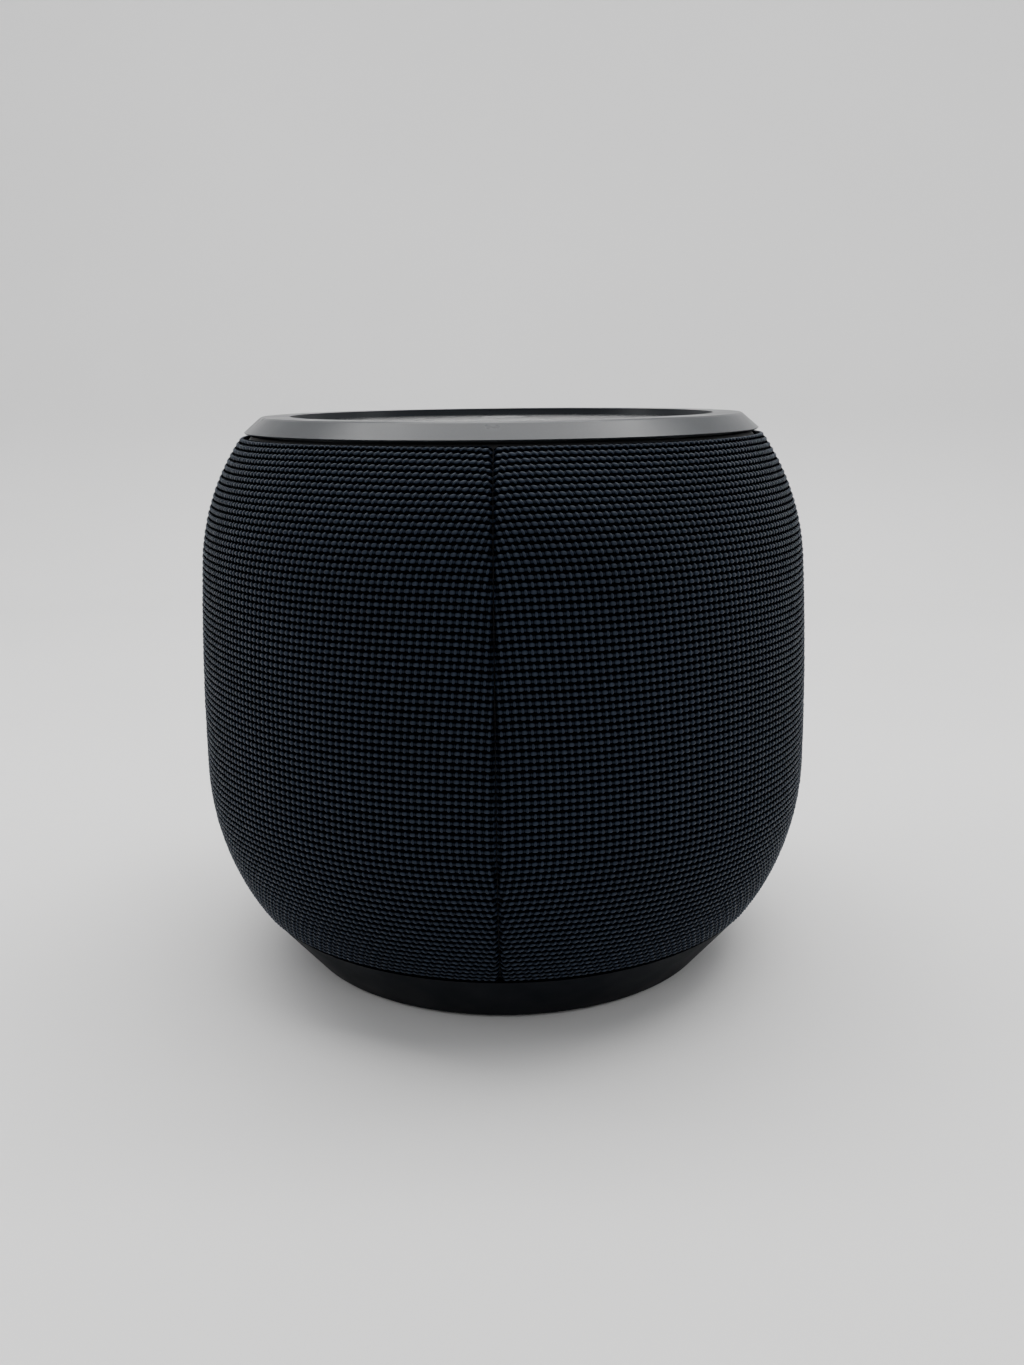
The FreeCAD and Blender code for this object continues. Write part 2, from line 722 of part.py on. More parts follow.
def make_reset_button():
    """Recessed pairing button in the underside; it is pushed up against its switch."""
    body = new_body("reset_button")
    radius = reset_dia / 2
    shelf = floor_top_z + 0.6
    turned(body, [
        (0, base_bottom_z + 0.2), (radius, base_bottom_z + 0.2), (radius, shelf + 0.05),
        (radius + 0.9, shelf + 0.05), (radius + 0.9, shelf + 0.65), (1, shelf + 0.65),
        (1, reset_top_z), (0, reset_top_z)])
    place(body, y=reset_y)


reset_top_z = power_board_bottom_z - 0.9 - reset_travel


def make_power_board():
    """Power entry board, hung under the cage's flange, with the socket on its lower face."""
    board = new_body("power_board")
    half = power_board_width / 2
    sketch = sketch_on(board, "XY_Plane", power_board_bottom_z)
    draw_box(sketch, -half, half, power_board_back_y, power_board_front_y)
    pushed(board, sketch, power_board_top_z - power_board_bottom_z)
    holes = sketch_on(board, "XY_Plane", power_board_bottom_z)
    for side in (-1, 1):
        draw_circle(holes, power_screw_x * side, power_screw_y, pilot_rad)
    pushed(board, holes, power_board_top_z - power_board_bottom_z, cut=True)

    screw_pair = new_body("power_board_screws", groups=True)
    shanks = sketch_on(screw_pair, "XY_Plane", floor_top_z + 1.2)
    heads = sketch_on(screw_pair, "XY_Plane", power_board_top_z)
    for side in (-1, 1):
        draw_circle(shanks, power_screw_x * side, power_screw_y, screw_rad)
    pushed(screw_pair, shanks, power_board_top_z - floor_top_z - 1.2)
    for side in (-1, 1):
        draw_circle(heads, power_screw_x * side, power_screw_y, head_rad)
    pushed(screw_pair, heads, screw_head_height)

    socket = new_body("usb_socket")
    shell = sketch_on(socket, "XZ_Plane", -socket_front_y)
    draw_pill(shell, 0, socket_z, socket_width, socket_height)
    pushed(socket, shell, socket_length)
    inside = sketch_on(socket, "XZ_Plane", -socket_front_y)
    draw_pill(inside, 0, socket_z, socket_width - socket_shell * 2,
              socket_height - socket_shell * 2)
    pushed(socket, inside, socket_length - 1, cut=True, flip=False)
    tongue = sketch_on(socket, "XZ_Plane", -(socket_front_y - 0.8))
    draw_box(tongue, -socket_width * 0.37, socket_width * 0.37, socket_z - 0.35, socket_z + 0.35)
    pushed(socket, tongue, socket_length - 1)

    parts = new_body("power_components", groups=True)
    chips = sketch_on(parts, "XY_Plane", power_board_bottom_z - 1.5)
    draw_box(chips, -12, -7, 14, 20)
    draw_box(chips, 6, 12, 14, 20)
    pushed(parts, chips, Size.of(1.5))
    case = sketch_on(parts, "XY_Plane", power_board_bottom_z - 0.6)
    draw_box(case, -1.7, 1.7, reset_y - 1.7, reset_y + 1.7)
    pushed(parts, case, Size.of(0.6))
    dome = sketch_on(parts, "XY_Plane", reset_top_z + reset_travel + 0.1)
    draw_circle(dome, 0, reset_y, 0.9)
    pushed(parts, dome, power_board_bottom_z - 0.6 - (reset_top_z + reset_travel + 0.1))
    plug = sketch_on(parts, "XY_Plane", power_board_top_z)
    angle = math.radians(lead_angle)
    x, y = lead_start_rad * math.cos(angle), lead_start_rad * math.sin(angle)
    draw_box(plug, x - 1.8, x + 1.4, y - 2.2, y + 2.2)
    pushed(parts, plug, lead_start_z - power_board_top_z)


# ---------------------------------------------------------------- deflector

def make_deflector():
    """Hollow cone that turns the driver's downward sound outwards, all round."""
    body = new_body("sound_deflector")
    edge, top = deflector_dia / 2, flange_top_z + deflector_height
    flare = Size.of(22)
    inner_flare = flare + deflector_wall
    lip = flange_top_z + deflector_wall
    turned(body, [
        (deflector_bore_rad, flange_top_z), (edge, flange_top_z), (edge, lip),
        (3, top, -flare), (0, top), (0, top - deflector_wall),
        (1.5, top - deflector_wall), (deflector_bore_rad, lip, inner_flare)])
    pins_round(body, pilot_rad + 1.2, deflector_screw_rad, flange_top_z,
               flange_top_z + deflector_wall + 2.4, 3, 30)
    pins_round(body, pilot_rad, deflector_screw_rad, flange_top_z,
               flange_top_z + deflector_wall + 1.6, 3, 30, cut=True)


deflector_bore_rad = Size.of(17)


# ---------------------------------------------------------------- driver

flange_bottom_z = chamber_floor_z - gasket_thick - driver_flange_thick
flange_face_z = chamber_floor_z - gasket_thick
surround_out = cone_dia / 2 + surround_width
cone_edge_z = flange_bottom_z + 1.05
cone_neck_z = cone_edge_z + cone_depth
coil_rad = coil_dia / 2
coil_out = coil_rad + former_thick + winding_thick
spider_z = cone_neck_z + 3
ledge_z = spider_z + spider_thick
plate_low_z = ledge_z + driver_travel + 0.6
plate_high_z = plate_low_z + plate_thick
magnet_high_z = plate_high_z + magnet_height
motor_high_z = magnet_high_z + yoke_thick
winding_mid_z = (plate_low_z + plate_high_z) / 2
basket_out = spider_dia / 2 + 2
chamber_screw_rad = cage_ledge_bore_dia / 2 + 2.6
driver_screw_rad = driver_dia / 2 - 2.2


def make_basket():
    """Pressed frame of the driver, with six windows behind the cone."""
    body = new_body("driver_basket")
    edge, spider_rad = driver_dia / 2, spider_dia / 2
    turned(body, [
        (surround_out, flange_bottom_z), (edge, flange_bottom_z), (edge, flange_face_z),
        (surround_out + 1.6, flange_face_z), (basket_out, ledge_z - 1), (basket_out, plate_low_z),
        (spider_rad - 2, plate_low_z), (spider_rad - 2, ledge_z), (spider_rad, ledge_z),
        (spider_rad, ledge_z - 1.2), (surround_out - 1.2, flange_face_z),
        (surround_out - 1.2, flange_bottom_z + 1), (surround_out, flange_bottom_z + 1)])
    sketch = sketch_on(body)
    draw_box(sketch, -5.5, 5.5, flange_face_z + 2.4, ledge_z - 3)
    repeated(body, pushed(body, sketch, body_dia, cut=True, flip=True), 6)
    pins_round(body, pilot_rad, driver_screw_rad, flange_bottom_z, flange_face_z, 4, 45, cut=True)


def make_motor():
    """Steel plate, ring magnet and yoke with its pole."""
    gap_out = coil_out + coil_gap
    disc("driver_top_plate", magnet_dia / 2, plate_low_z, plate_high_z, gap_out)
    disc("driver_magnet", magnet_dia / 2 - 1, plate_high_z, magnet_high_z, magnet_bore_dia / 2)
    yoke = new_body("driver_yoke")
    pole = coil_rad - coil_gap
    turned(yoke, [
        (0, plate_low_z), (pole, plate_low_z), (pole, magnet_high_z),
        (magnet_dia / 2 - 2, magnet_high_z), (magnet_dia / 2 - 2, motor_high_z - 1),
        (magnet_dia / 2 - 3, motor_high_z), (0, motor_high_z)])


def make_diaphragm():
    """The pieces that travel together: cone, dust cap, coil former and winding."""
    cone = new_body("driver_cone")
    edge, neck = cone_dia / 2, coil_rad + former_thick
    bow = Size.of(60)
    turned(cone, [
        (edge, cone_edge_z), (edge + 1, cone_edge_z), (edge + 1, cone_edge_z + cone_thick),
        (edge, cone_edge_z + cone_thick), (neck, cone_neck_z + cone_thick, -bow),
        (neck, cone_neck_z - cone_thick), (edge - cone_thick, cone_edge_z, bow)])
    cap = new_body("dust_cap")
    rim, drop = coil_rad - 0.1, Size.of(4)
    crown = (rim * rim + drop * drop) / (2 * drop)
    inner_rim = rim - cone_thick
    inner_drop = drop - cone_thick
    inner_crown = (inner_rim * inner_rim + inner_drop * inner_drop) / (2 * inner_drop)
    cap_z = cone_neck_z - 1.6
    turned(cap, [(0, cap_z - drop), (rim, cap_z, crown), (rim - cone_thick, cap_z),
                 (0, cap_z - inner_drop, -inner_crown)])
    top = winding_mid_z + winding_height / 2
    disc("coil_former", coil_rad + former_thick, cap_z, top + 0.6, coil_rad)
    disc("coil_winding", coil_out, top - winding_height, top, coil_rad + former_thick)


def make_surround():
    """Half-roll rubber surround between the cone's edge and the frame."""
    body = new_body("driver_surround")
    thick = surround_thick
    start, end = cone_dia / 2 + 1.05, surround_out - 1.25
    seat = cone_edge_z
    roll = (end - start) / 2 * 1.0001
    inner_roll = (end - start - thick * 2) / 2 * 1.0001
    turned(body, [
        (start - 0.9, seat - thick), (start, seat - thick), (end, seat - thick, roll),
        (end + 1.2, seat - thick), (end + 1.2, seat - 0.05), (end - thick, seat - 0.05),
        (start + thick, seat - 0.05, -inner_roll), (start - 0.9, seat - 0.05)])


def make_spider():
    body = new_body("driver_spider")
    inner, outer = coil_rad + former_thick, spider_dia / 2
    ridge = Size.of(3)
    points = [(inner, spider_z)]
    waves = 3
    span = (outer - 2.4 - inner - 0.8) / waves
    x = inner + 0.8
    points.append((x, spider_z))
    for k in range(waves):
        points.append((x + span, spider_z, ridge if k % 2 else -ridge))
        x = x + span
    points.append((outer, spider_z))
    points.append((outer, spider_z + spider_thick))
    points.append((x, spider_z + spider_thick))
    for k in reversed(range(waves)):
        points.append((x - span, spider_z + spider_thick, -ridge if k % 2 else ridge))
        x = x - span
    points.append((inner, spider_z + spider_thick))
    turned(body, points)


# ---------------------------------------------------------------- chamber

def chamber_section(inset):
    """The chamber's outline from above: a circle with a flat at each end of X."""
    radius = chamber_dia / 2 - inset
    flat_x = flat_distance - inset
    flat_y = root(radius * radius - flat_x * flat_x)
    return [(-flat_x, -flat_y), (flat_x, -flat_y, radius), (flat_x, flat_y),
            (-flat_x, flat_y, radius)]


def make_chamber_body():
    body = new_body("chamber_body")
    outside = sketch_on(body, "XY_Plane", chamber_floor_z)
    draw_outline(outside, chamber_section(Size.of(0)))
    pushed(body, outside, chamber_height)
    inside = sketch_on(body, "XY_Plane", chamber_floor_z + chamber_floor)
    draw_outline(inside, chamber_section(chamber_wall))
    pushed(body, inside, chamber_height - chamber_floor, cut=True)
    boss = pilot_rad + boss_wall
    pins_round(body, boss, chamber_screw_rad - 1.2, chamber_floor_z, chamber_floor_z + 10, 4, 45)
    pins_round(body, boss, lid_screw_rad, chamber_top_z - 12, chamber_top_z, 6, 30)
    pins_round(body, pilot_rad, lid_screw_rad, chamber_top_z - 9, chamber_top_z, 6, 30, cut=True)
    pins_round(body, pilot_rad, chamber_screw_rad, chamber_floor_z, chamber_floor_z + 7, 4, 45,
               cut=True)
    pins_round(body, pilot_rad, driver_screw_rad, chamber_floor_z, chamber_floor_z + 2.4, 4, 45,
               cut=True)
    hole = sketch_on(body, "XY_Plane", chamber_floor_z)
    draw_circle(hole, 0, 0, surround_out + 2)
    pushed(body, hole, chamber_floor, cut=True)
    for flip in (False, True):
        port = sketch_on(body, "YZ_Plane")
        draw_circle(port, 0, radiator_z, radiator_bore_dia / 2)
        pushed(body, port, body_dia, cut=True, flip=flip)


lid_screw_rad = chamber_dia / 2 - chamber_wall - 1.6
radiator_z = chamber_floor_z + chamber_height / 2


def make_chamber_lid():
    """Lid with four standoffs for the main board and a seat for the lead grommet."""
    body = new_body("chamber_lid")
    low = chamber_top_z + gasket_lid
    plate = sketch_on(body, "XY_Plane", low)
    draw_outline(plate, chamber_section(Size.of(0)))
    pushed(body, plate, lid_top_z - low)
    boss = pilot_rad + boss_wall
    circle = board_screw_circle_dia / 2
    pins_round(body, boss, circle, low, main_bottom_z, 4, 45)
    pins_round(body, pilot_rad, circle, lid_top_z - 1.2, main_bottom_z, 4, 45, cut=True)
    pins_round(body, pilot_rad, lid_screw_rad, low, lid_top_z, 6, 30, cut=True)
    hole = sketch_on(body, "XY_Plane", low)
    draw_circle(hole, speaker_lead_x, 0, grommet_rad)
    pushed(body, hole, lid_top_z - low, cut=True)

    gasket = new_body("chamber_gasket")
    band = sketch_on(gasket, "XY_Plane", chamber_top_z)
    draw_outline(band, chamber_section(Size.of(0)))
    pushed(gasket, band, gasket_lid)
    middle = sketch_on(gasket, "XY_Plane", chamber_top_z)
    draw_outline(middle, chamber_section(chamber_wall + 4))
    pushed(gasket, middle, gasket_lid, cut=True)
    pins_round(gasket, pilot_rad, lid_screw_rad, chamber_top_z, low, 6, 30, cut=True)

    grommet = new_body("lead_grommet")
    rad, bore = grommet_rad, speaker_lead_dia / 2
    turned(grommet, [
        (bore, low - 1), (rad + 1, low - 1), (rad + 1, low), (rad, low), (rad, lid_top_z),
        (rad + 1, lid_top_z), (rad + 1, lid_top_z + 1), (bore, lid_top_z + 1)])
    place(grommet, x=speaker_lead_x)


gasket_lid = Size.of(0.5)
speaker_lead_x = Size.of(30)
grommet_rad = Size.of(2.4)


# ---------------------------------------------------------------- passive radiators

def make_radiator(side, way):
    """A weighted plate in a roll surround, facing +X or -X."""
    turn = Rotation(AXIS_Y, 90 * way)
    x = flat_distance * way
    outer, bore = radiator_dia / 2, radiator_bore_dia / 2
    frame = disc(f"radiator_frame_{side}", outer, Size.of(0), radiator_frame_thick, bore)
    plate_rad = radiator_plate_dia / 2
    plate_low = (radiator_frame_thick - radiator_plate_thick) / 2
    plate = new_body(f"radiator_plate_{side}")
    high = plate_low + radiator_plate_thick
    turned(plate, [
        (0, plate_low), (plate_rad - 0.6, plate_low), (plate_rad, plate_low + 0.6),
        (plate_rad, high - 0.5), (plate_rad - 0.5, high), (plate_rad - 3, high),
        (plate_rad - 4, high - 0.8), (0, high - 0.8)])
    surround = new_body(f"radiator_surround_{side}")
    seat = radiator_frame_thick / 2 - surround_thick / 2
    top = seat + surround_thick
    gap = Size.of(0.05)
    start, end = plate_rad + gap + 0.5, bore - gap - 0.4
    roll = (end - start) / 2 * 1.0001
    inner = (end - start - surround_thick * 2) / 2 * 1.0001
    turned(surround, [
        (plate_rad + gap, seat), (start + surround_thick, seat),
        (end - surround_thick, seat, -inner), (bore - gap, seat), (bore - gap, top), (end, top),
        (start, top, roll), (plate_rad + gap, top)])
    for body in (frame, plate, surround):
        place(body, x=x, z=radiator_z, turn=turn)


# ---------------------------------------------------------------- main electronics

def make_main_board():
    circle = board_screw_circle_dia / 2
    board = disc("main_board", main_board_dia / 2, main_bottom_z, main_top_z)
    pins_round(board, pilot_rad, circle, main_bottom_z, main_top_z, 4, 45, cut=True)
    lead_hole = sketch_on(board, "XY_Plane", main_bottom_z)
    draw_circle(lead_hole, speaker_lead_x, 0, speaker_lead_dia / 2 + 0.3)
    pushed(board, lead_hole, main_board_thick, cut=True)

    chips = new_body("board_components", groups=True)
    sketch = sketch_on(chips, "XY_Plane", main_top_z)
    draw_box(sketch, 16, 24, -9, -3)
    draw_box(sketch, -26, -18, 4, 12)
    draw_box(sketch, 8, 15, 14, 21)
    draw_box(sketch, -25, -19, -12, -6)
    draw_box(sketch, -6, 6, flex_y - 1.6, flex_y + 1.6)
    pushed(chips, sketch, Size.of(1.6))
    coils = sketch_on(chips, "XY_Plane", main_top_z)
    for x, y in ((20, 5), (14, -20), (-14, 22), (-14, -20)):
        draw_circle(coils, x, y, 2.4)
    pushed(chips, coils, Size.of(2.2))

    processor = sketch_on(chips, "XY_Plane", main_top_z)
    draw_box(processor, -7, 7, -7, 7)
    pushed(chips, processor, shield_height - 0.4)

    can = new_body("shield_can")
    width, depth = shield_width / 2, shield_depth / 2
    outer = sketch_on(can, "XY_Plane", main_top_z)
    draw_box(outer, -width, width, -depth, depth)
    pushed(can, outer, shield_height)
    inner = sketch_on(can, "XY_Plane", main_top_z)
    draw_box(inner, -width + 0.3, width - 0.3, -depth + 0.3, depth - 0.3)
    pushed(can, inner, shield_height - 0.3, cut=True)

    pad = new_body("thermal_pad")
    soft = sketch_on(pad, "XY_Plane", shield_top_z)
    draw_box(soft, -width + 3, width - 3, -depth + 3, depth - 3)
    pushed(pad, soft, pad_thick)

    spreader = disc("heat_spreader", circle + 1, spreader_bottom_z, spreader_top_z)
    pins_round(spreader, pilot_rad + 1.4, circle, main_top_z, spreader_top_z, 4, 45)
    pins_round(spreader, pilot_rad, circle, main_top_z, spreader_top_z, 4, 45, cut=True)
    passage = sketch_on(spreader, "XY_Plane", spreader_bottom_z)
    draw_box(passage, -flex_width / 2 - 1, flex_width / 2 + 1, flex_y - 4, flex_y + 4)
    pushed(spreader, passage, spreader_thick, cut=True)


def make_antennas():
    """Two small antenna boards standing on the chamber's lid."""
    body = new_body("antennas", groups=True)
    half, near = antenna_width / 2, antenna_dist
    stand = sketch_on(body, "XY_Plane", lid_top_z)
    draw_box(stand, near, near + antenna_thick, -half, half)
    first = pushed(body, stand, antenna_height)
    foot = sketch_on(body, "XY_Plane", lid_top_z)
    draw_box(foot, near - 2.4, near, -3, 3)
    second = pushed(body, foot, Size.of(0.8))
    pattern = repeated(body, first, 2)
    pattern.Originals = [first, second]
    place(body, turn=Rotation(AXIS_Z, 120))


# ---------------------------------------------------------------- control top

def make_rim():
    """Bevelled trim ring round the recessed top."""
    body = new_body("rim_ring")
    flat, skirt, bore = rim_flat_dia / 2, rim_skirt_dia / 2, rim_bore_dia / 2
    edge = Size.of(0.25)
    turned(body, [
        (bore, total_height), (flat - edge, total_height), (flat + edge * 0.6, total_height - edge),
        (skirt, rim_skirt_z + edge), (skirt - edge, rim_skirt_z),
        (spigot_rad + rim_spigot_thick, rim_skirt_z),
        (spigot_rad + rim_spigot_thick, spigot_bottom_z), (spigot_rad, spigot_bottom_z),
        (spigot_rad, rim_seat_z), (bore, rim_seat_z)])


def make_light_ring():
    """Smoked light guide round the panel; the panel rests on its inner ledge."""
    body = new_body("light_ring")
    inner = panel_dia / 2 + lay_gap
    outer = rim_bore_dia / 2 - lay_gap
    flange = collar_rad + collar_thick - lay_gap
    ledge = panel_dia / 2 - light_ledge
    turned(body, [
        (inner, panel_bottom_z), (inner, panel_top_z), (outer, panel_top_z), (outer, rim_seat_z),
        (flange, rim_seat_z), (flange, collar_top_z), (inner + 0.4, collar_top_z),
        (inner + 0.4, rim_seat_z + 0.2), (ledge, rim_seat_z + 0.2), (ledge, panel_bottom_z)])


def make_panel():
    """Control panel with holes for four keys and four microphones."""
    panel = disc("touch_panel", panel_dia / 2, panel_bottom_z, panel_top_z)
    pins_round(panel, key_dia / 2 + key_gap, key_circle_dia / 2, panel_bottom_z, panel_top_z, 4,
               cut=True)
    pins_round(panel, mic_hole_dia / 2, mic_circle_dia / 2, panel_bottom_z, panel_top_z, 4, 45,
               cut=True)


def make_key(label, x_way, y_way):
    """A round key, held under the panel by its flange, with a stem over its switch."""
    body = new_body(label)
    radius, wide = key_dia / 2, key_dia / 2 + key_flange
    flange_top = panel_bottom_z - key_gap
    flange_low = flange_top - key_flange_thick
    dish = Size.of(60)
    edge = Size.of(0.3)
    turned(body, [
        (0, panel_top_z - 0.25), (radius - edge, panel_top_z, dish), (radius, panel_top_z - edge),
        (radius, flange_top), (wide, flange_top), (wide, flange_low), (1.2, flange_low),
        (1.2, switch_top_z + key_travel + 0.1), (0, switch_top_z + key_travel + 0.1)])
    distance = key_circle_dia / 2
    place(body, x=distance * x_way, y=distance * y_way)


switch_top_z = control_top_z + 0.9


def make_control_board():
    board = disc("control_board", collar_rad - 0.6, control_bottom_z, control_top_z)
    pins_round(board, pilot_rad, control_screw_rad, control_bottom_z, control_top_z, 3, 15,
               cut=True)

    switches = new_body("key_switches", groups=True)
    case = sketch_on(switches, "XY_Plane", control_top_z)
    distance = key_circle_dia / 2
    draw_box(case, distance - 1.7, distance + 1.7, -1.7, 1.7)
    repeated(switches, pushed(switches, case, Size.of(0.6)), 4)
    pins_round(switches, Size.of(1), distance, control_top_z, switch_top_z, 4)

    leds = new_body("status_leds", groups=True)
    chip = sketch_on(leds, "XY_Plane", control_top_z)
    circle, half = led_circle_dia / 2, led_side / 2
    draw_box(chip, circle - half, circle + half, -half, half)
    repeated(leds, pushed(leds, chip, Size.of(0.7)), 12)

    mics = new_body("microphones", groups=True)
    case = sketch_on(mics, "XY_Plane", control_top_z)
    x = mic_circle_dia / 2 * round(math.cos(math.radians(45)), 9)
    draw_box(case, x - 1.75, x + 1.75, x - 1.3, x + 1.3)
    repeated(mics, pushed(mics, case, mic_height), 4)

    seals = new_body("microphone_seals", groups=True)
    pins_round(seals, Size.of(1.9), mic_circle_dia / 2, control_top_z + mic_height,
               panel_bottom_z, 4, 45)
    pins_round(seals, mic_hole_dia / 2, mic_circle_dia / 2, control_top_z + mic_height,
               panel_bottom_z, 4, 45, cut=True)


mic_height = Size.of(1)
control_screw_rad = Size.of(12)


def make_tray():
    """Carrier tray between the cage and the control board."""
    body = new_body("top_tray")
    reach = barrel_radius(tray_top_z, sleeve_thick + cage_thick) - lay_gap
    turned(body, [
        (0, tray_bottom_z), (reach, tray_bottom_z), (reach, tray_top_z),
        (collar_rad + collar_thick, tray_top_z), (collar_rad + collar_thick, collar_top_z),
        (collar_rad, collar_top_z), (collar_rad, tray_top_z), (0, tray_top_z)])
    boss = pilot_rad + boss_wall
    pins_round(body, boss, control_screw_rad, tray_top_z, control_bottom_z, 3, 15)
    pins_round(body, pilot_rad, control_screw_rad, tray_bottom_z, control_bottom_z, 3, 15,
               cut=True)
    pins_round(body, pilot_rad, tray_screw_rad, tray_bottom_z, tray_top_z, 4, 45, cut=True)
    slot = sketch_on(body, "XY_Plane", tray_bottom_z)
    draw_box(slot, -flex_width / 2 - 1, flex_width / 2 + 1, flex_y - 4, flex_y + 4)
    pushed(body, slot, tray_thick, cut=True)


# ---------------------------------------------------------------- wiring

lead_angle = 60
lead_start_rad = Size.of(24.2)
lead_start_z = power_board_top_z + 0.35


def lead_plane(rad, z, angle):
    a = math.radians(angle)
    return Vector(rad * math.cos(a), rad * math.sin(a), z)


def rounded_path(points, bend):
    """Straight runs joined by tangent arcs, each arc at most bend, through the given points."""
    edges, here = [], points[0]
    for before, corner, after in zip(points, points[1:], points[2:]):
        into = (corner - before).normalize()
        out = (after - corner).normalize()
        half_turn = into.getAngle(out) / 2
        run = min((corner - before).Length, (after - corner).Length) * 0.45
        reach = min(run, bend * math.tan(half_turn))
        start, end = corner - into * reach, corner + out * reach
        middle_way = (out - into).normalize()
        radius = reach / math.tan(half_turn)
        middle = corner + middle_way * (radius / math.cos(half_turn) - radius)
        edges.append(Part.LineSegment(here, start).toShape())
        edges.append(Part.Arc(start, middle, end).toShape())
        here = end
    edges.append(Part.LineSegment(here, points[-1]).toShape())
    return Part.Wire(edges)


def make_lead(label, points, diameter, bend):
    """A round lead, swept along its route; its volume is compared with section times length."""
    path = rounded_path(points, bend)
    way = (points[1] - points[0]).normalize()
    circle = Part.Wire(Part.Circle(points[0], way, diameter.value / 2).toShape())
    tube = path.makePipeShell([circle], True, True)
    expected = math.pi * (diameter.value / 2) ** 2 * path.Length
    if abs(tube.Volume / expected - 1) > 0.01:
        raise RuntimeError(f"{label}: volume {tube.Volume:.1f}, expected {expected:.1f}")
    made = doc.addObject("Part::Feature", label)
    made.Label = label
    made.Shape = tube
    made.Placement = Placement()
    print(f"{label}: length {path.Length:.1f} mm")


def make_leads():
    side_rad = (chamber_dia / 2 + barrel_radius(cage_split_z, sleeve_thick + cage_thick)) / 2
    route = [
        (lead_start_rad.value, lead_start_z.value),
        (lead_start_rad.value, flange_top_z.value + 5),
        (chamber_dia.value / 2 - 3.5, chamber_floor_z.value - 8.5),
        (chamber_dia.value / 2 + 2.4, chamber_floor_z.value + 1),
        (side_rad.value, chamber_floor_z.value + 15),
        (side_rad.value, chamber_top_z.value - 4),
        (48.6, main_top_z.value + 3.6),
        (board_screw_circle_dia.value / 2 + 3.2, main_top_z.value + 1.35)]
    points = [lead_plane(r, z, lead_angle) for r, z in route]
    make_lead("power_lead", points, power_lead_dia, 12)
    start_rad = basket_out.value + speaker_lead_dia.value / 2 + 0.6
    route = [
        (start_rad, plate_low_z.value + 1),
        (start_rad, magnet_high_z.value),
        (speaker_lead_x.value, motor_high_z.value + 6),
        (speaker_lead_x.value, main_top_z.value + 0.8)]
    points = [lead_plane(r, z, 0) for r, z in route]
    make_lead("speaker_lead", points, speaker_lead_dia, 14)


def make_flex():
    """Flat flex cable from the control board down to the main board, with one slack bend."""
    body = new_body("flex_cable")
    low, high = main_top_z + 1.6, control_bottom_z
    thick, bow = flex_thick, (high - low) * 0.5532
    sketch = sketch_on(body, "YZ_Plane")
    y0, y1 = flex_y, flex_y + thick
    middle = (low + high) / 2
    draw_outline(sketch, [
        (y0, low, -bow), (y1, low), (y1, middle, bow), (y1, high, -bow), (y0, high),
        (y0, middle, bow)])
    pushed(body, sketch, flex_width, both=True)


# ---------------------------------------------------------------- assembly

def build():
    make_sleeve()
    make_seam_strips()
    make_lower_cage()
    make_upper_cage()
    make_base_cover()
    make_foot()
    make_reset_button()
    make_power_board()
    make_deflector()
    make_basket()
    make_motor()
    make_diaphragm()
    make_surround()
    make_spider()
    gasket = disc("driver_gasket", driver_dia / 2, flange_face_z, chamber_floor_z,
                  surround_out + 2)
    pins_round(gasket, pilot_rad, driver_screw_rad, flange_face_z, chamber_floor_z, 4, 45,
               cut=True)
    make_chamber_body()
    make_chamber_lid()
    make_radiator("right", 1)
    make_radiator("left", -1)
    make_main_board()
    make_antennas()
    make_rim()
    make_light_ring()
    make_panel()
    make_key("volume_up_key", 1, 0)
    make_key("volume_down_key", -1, 0)
    make_key("action_key", 0, -1)
    make_key("mic_mute_key", 0, 1)
    make_control_board()
    make_tray()
    make_leads()
    make_flex()
    screws("short_screws", short_screw_length, [
        (base_screw_rad, base_screw_seat_z, 4, 45, 1),
        (deflector_screw_rad, cage_bottom_z, 3, 30, 1),
        (driver_screw_rad, flange_bottom_z, 4, 45, 1),
        (tray_screw_rad, tray_top_z, 4, 45, -1),
        (control_screw_rad, tray_bottom_z, 3, 15, 1)])
    screws("long_screws", long_screw_length, [
        (chamber_screw_rad, chamber_floor_z - cage_ledge_thick, 4, 45, 1),
        (lid_screw_rad, lid_top_z, 6, 30, -1)])
    screws("board_screws", spreader_top_z - lid_top_z + 1, [
        (board_screw_circle_dia / 2, spreader_top_z, 4, 45, -1)])


def export():
    """Checks every object, then writes one STEP file for each piece."""
    doc.recompute()
    faulty = [o.Name for o in doc.Objects if {"Invalid", "Error"} & set(o.State)]
    if faulty:
        raise RuntimeError(f"failed objects: {faulty}")
    pieces = [o for o in doc.Objects
              if o.isDerivedFrom("PartDesign::Body") or o.TypeId == "Part::Feature"]
    pieces = [o for o in pieces if not o.Label.endswith("_groove")]
    for piece in pieces:
        if piece.Shape.isNull() or not piece.Shape.isValid() or not piece.Shape.Solids:
            raise RuntimeError(f"{piece.Label}: bad shape")
    os.makedirs("parts", exist_ok=True)
    for piece in pieces:
        piece.Shape.exportStep(f"parts/{piece.Label}.step")
    print(f"{len(pieces)} pieces written")


build()
export()
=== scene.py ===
"""Smart home hub: its woven sleeve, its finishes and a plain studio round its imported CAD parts."""

import math
from collections import namedtuple

import bpy
import numpy as np
from bpy.props import FloatProperty, FloatVectorProperty, IntProperty, PointerProperty
from mathutils import Matrix, Vector


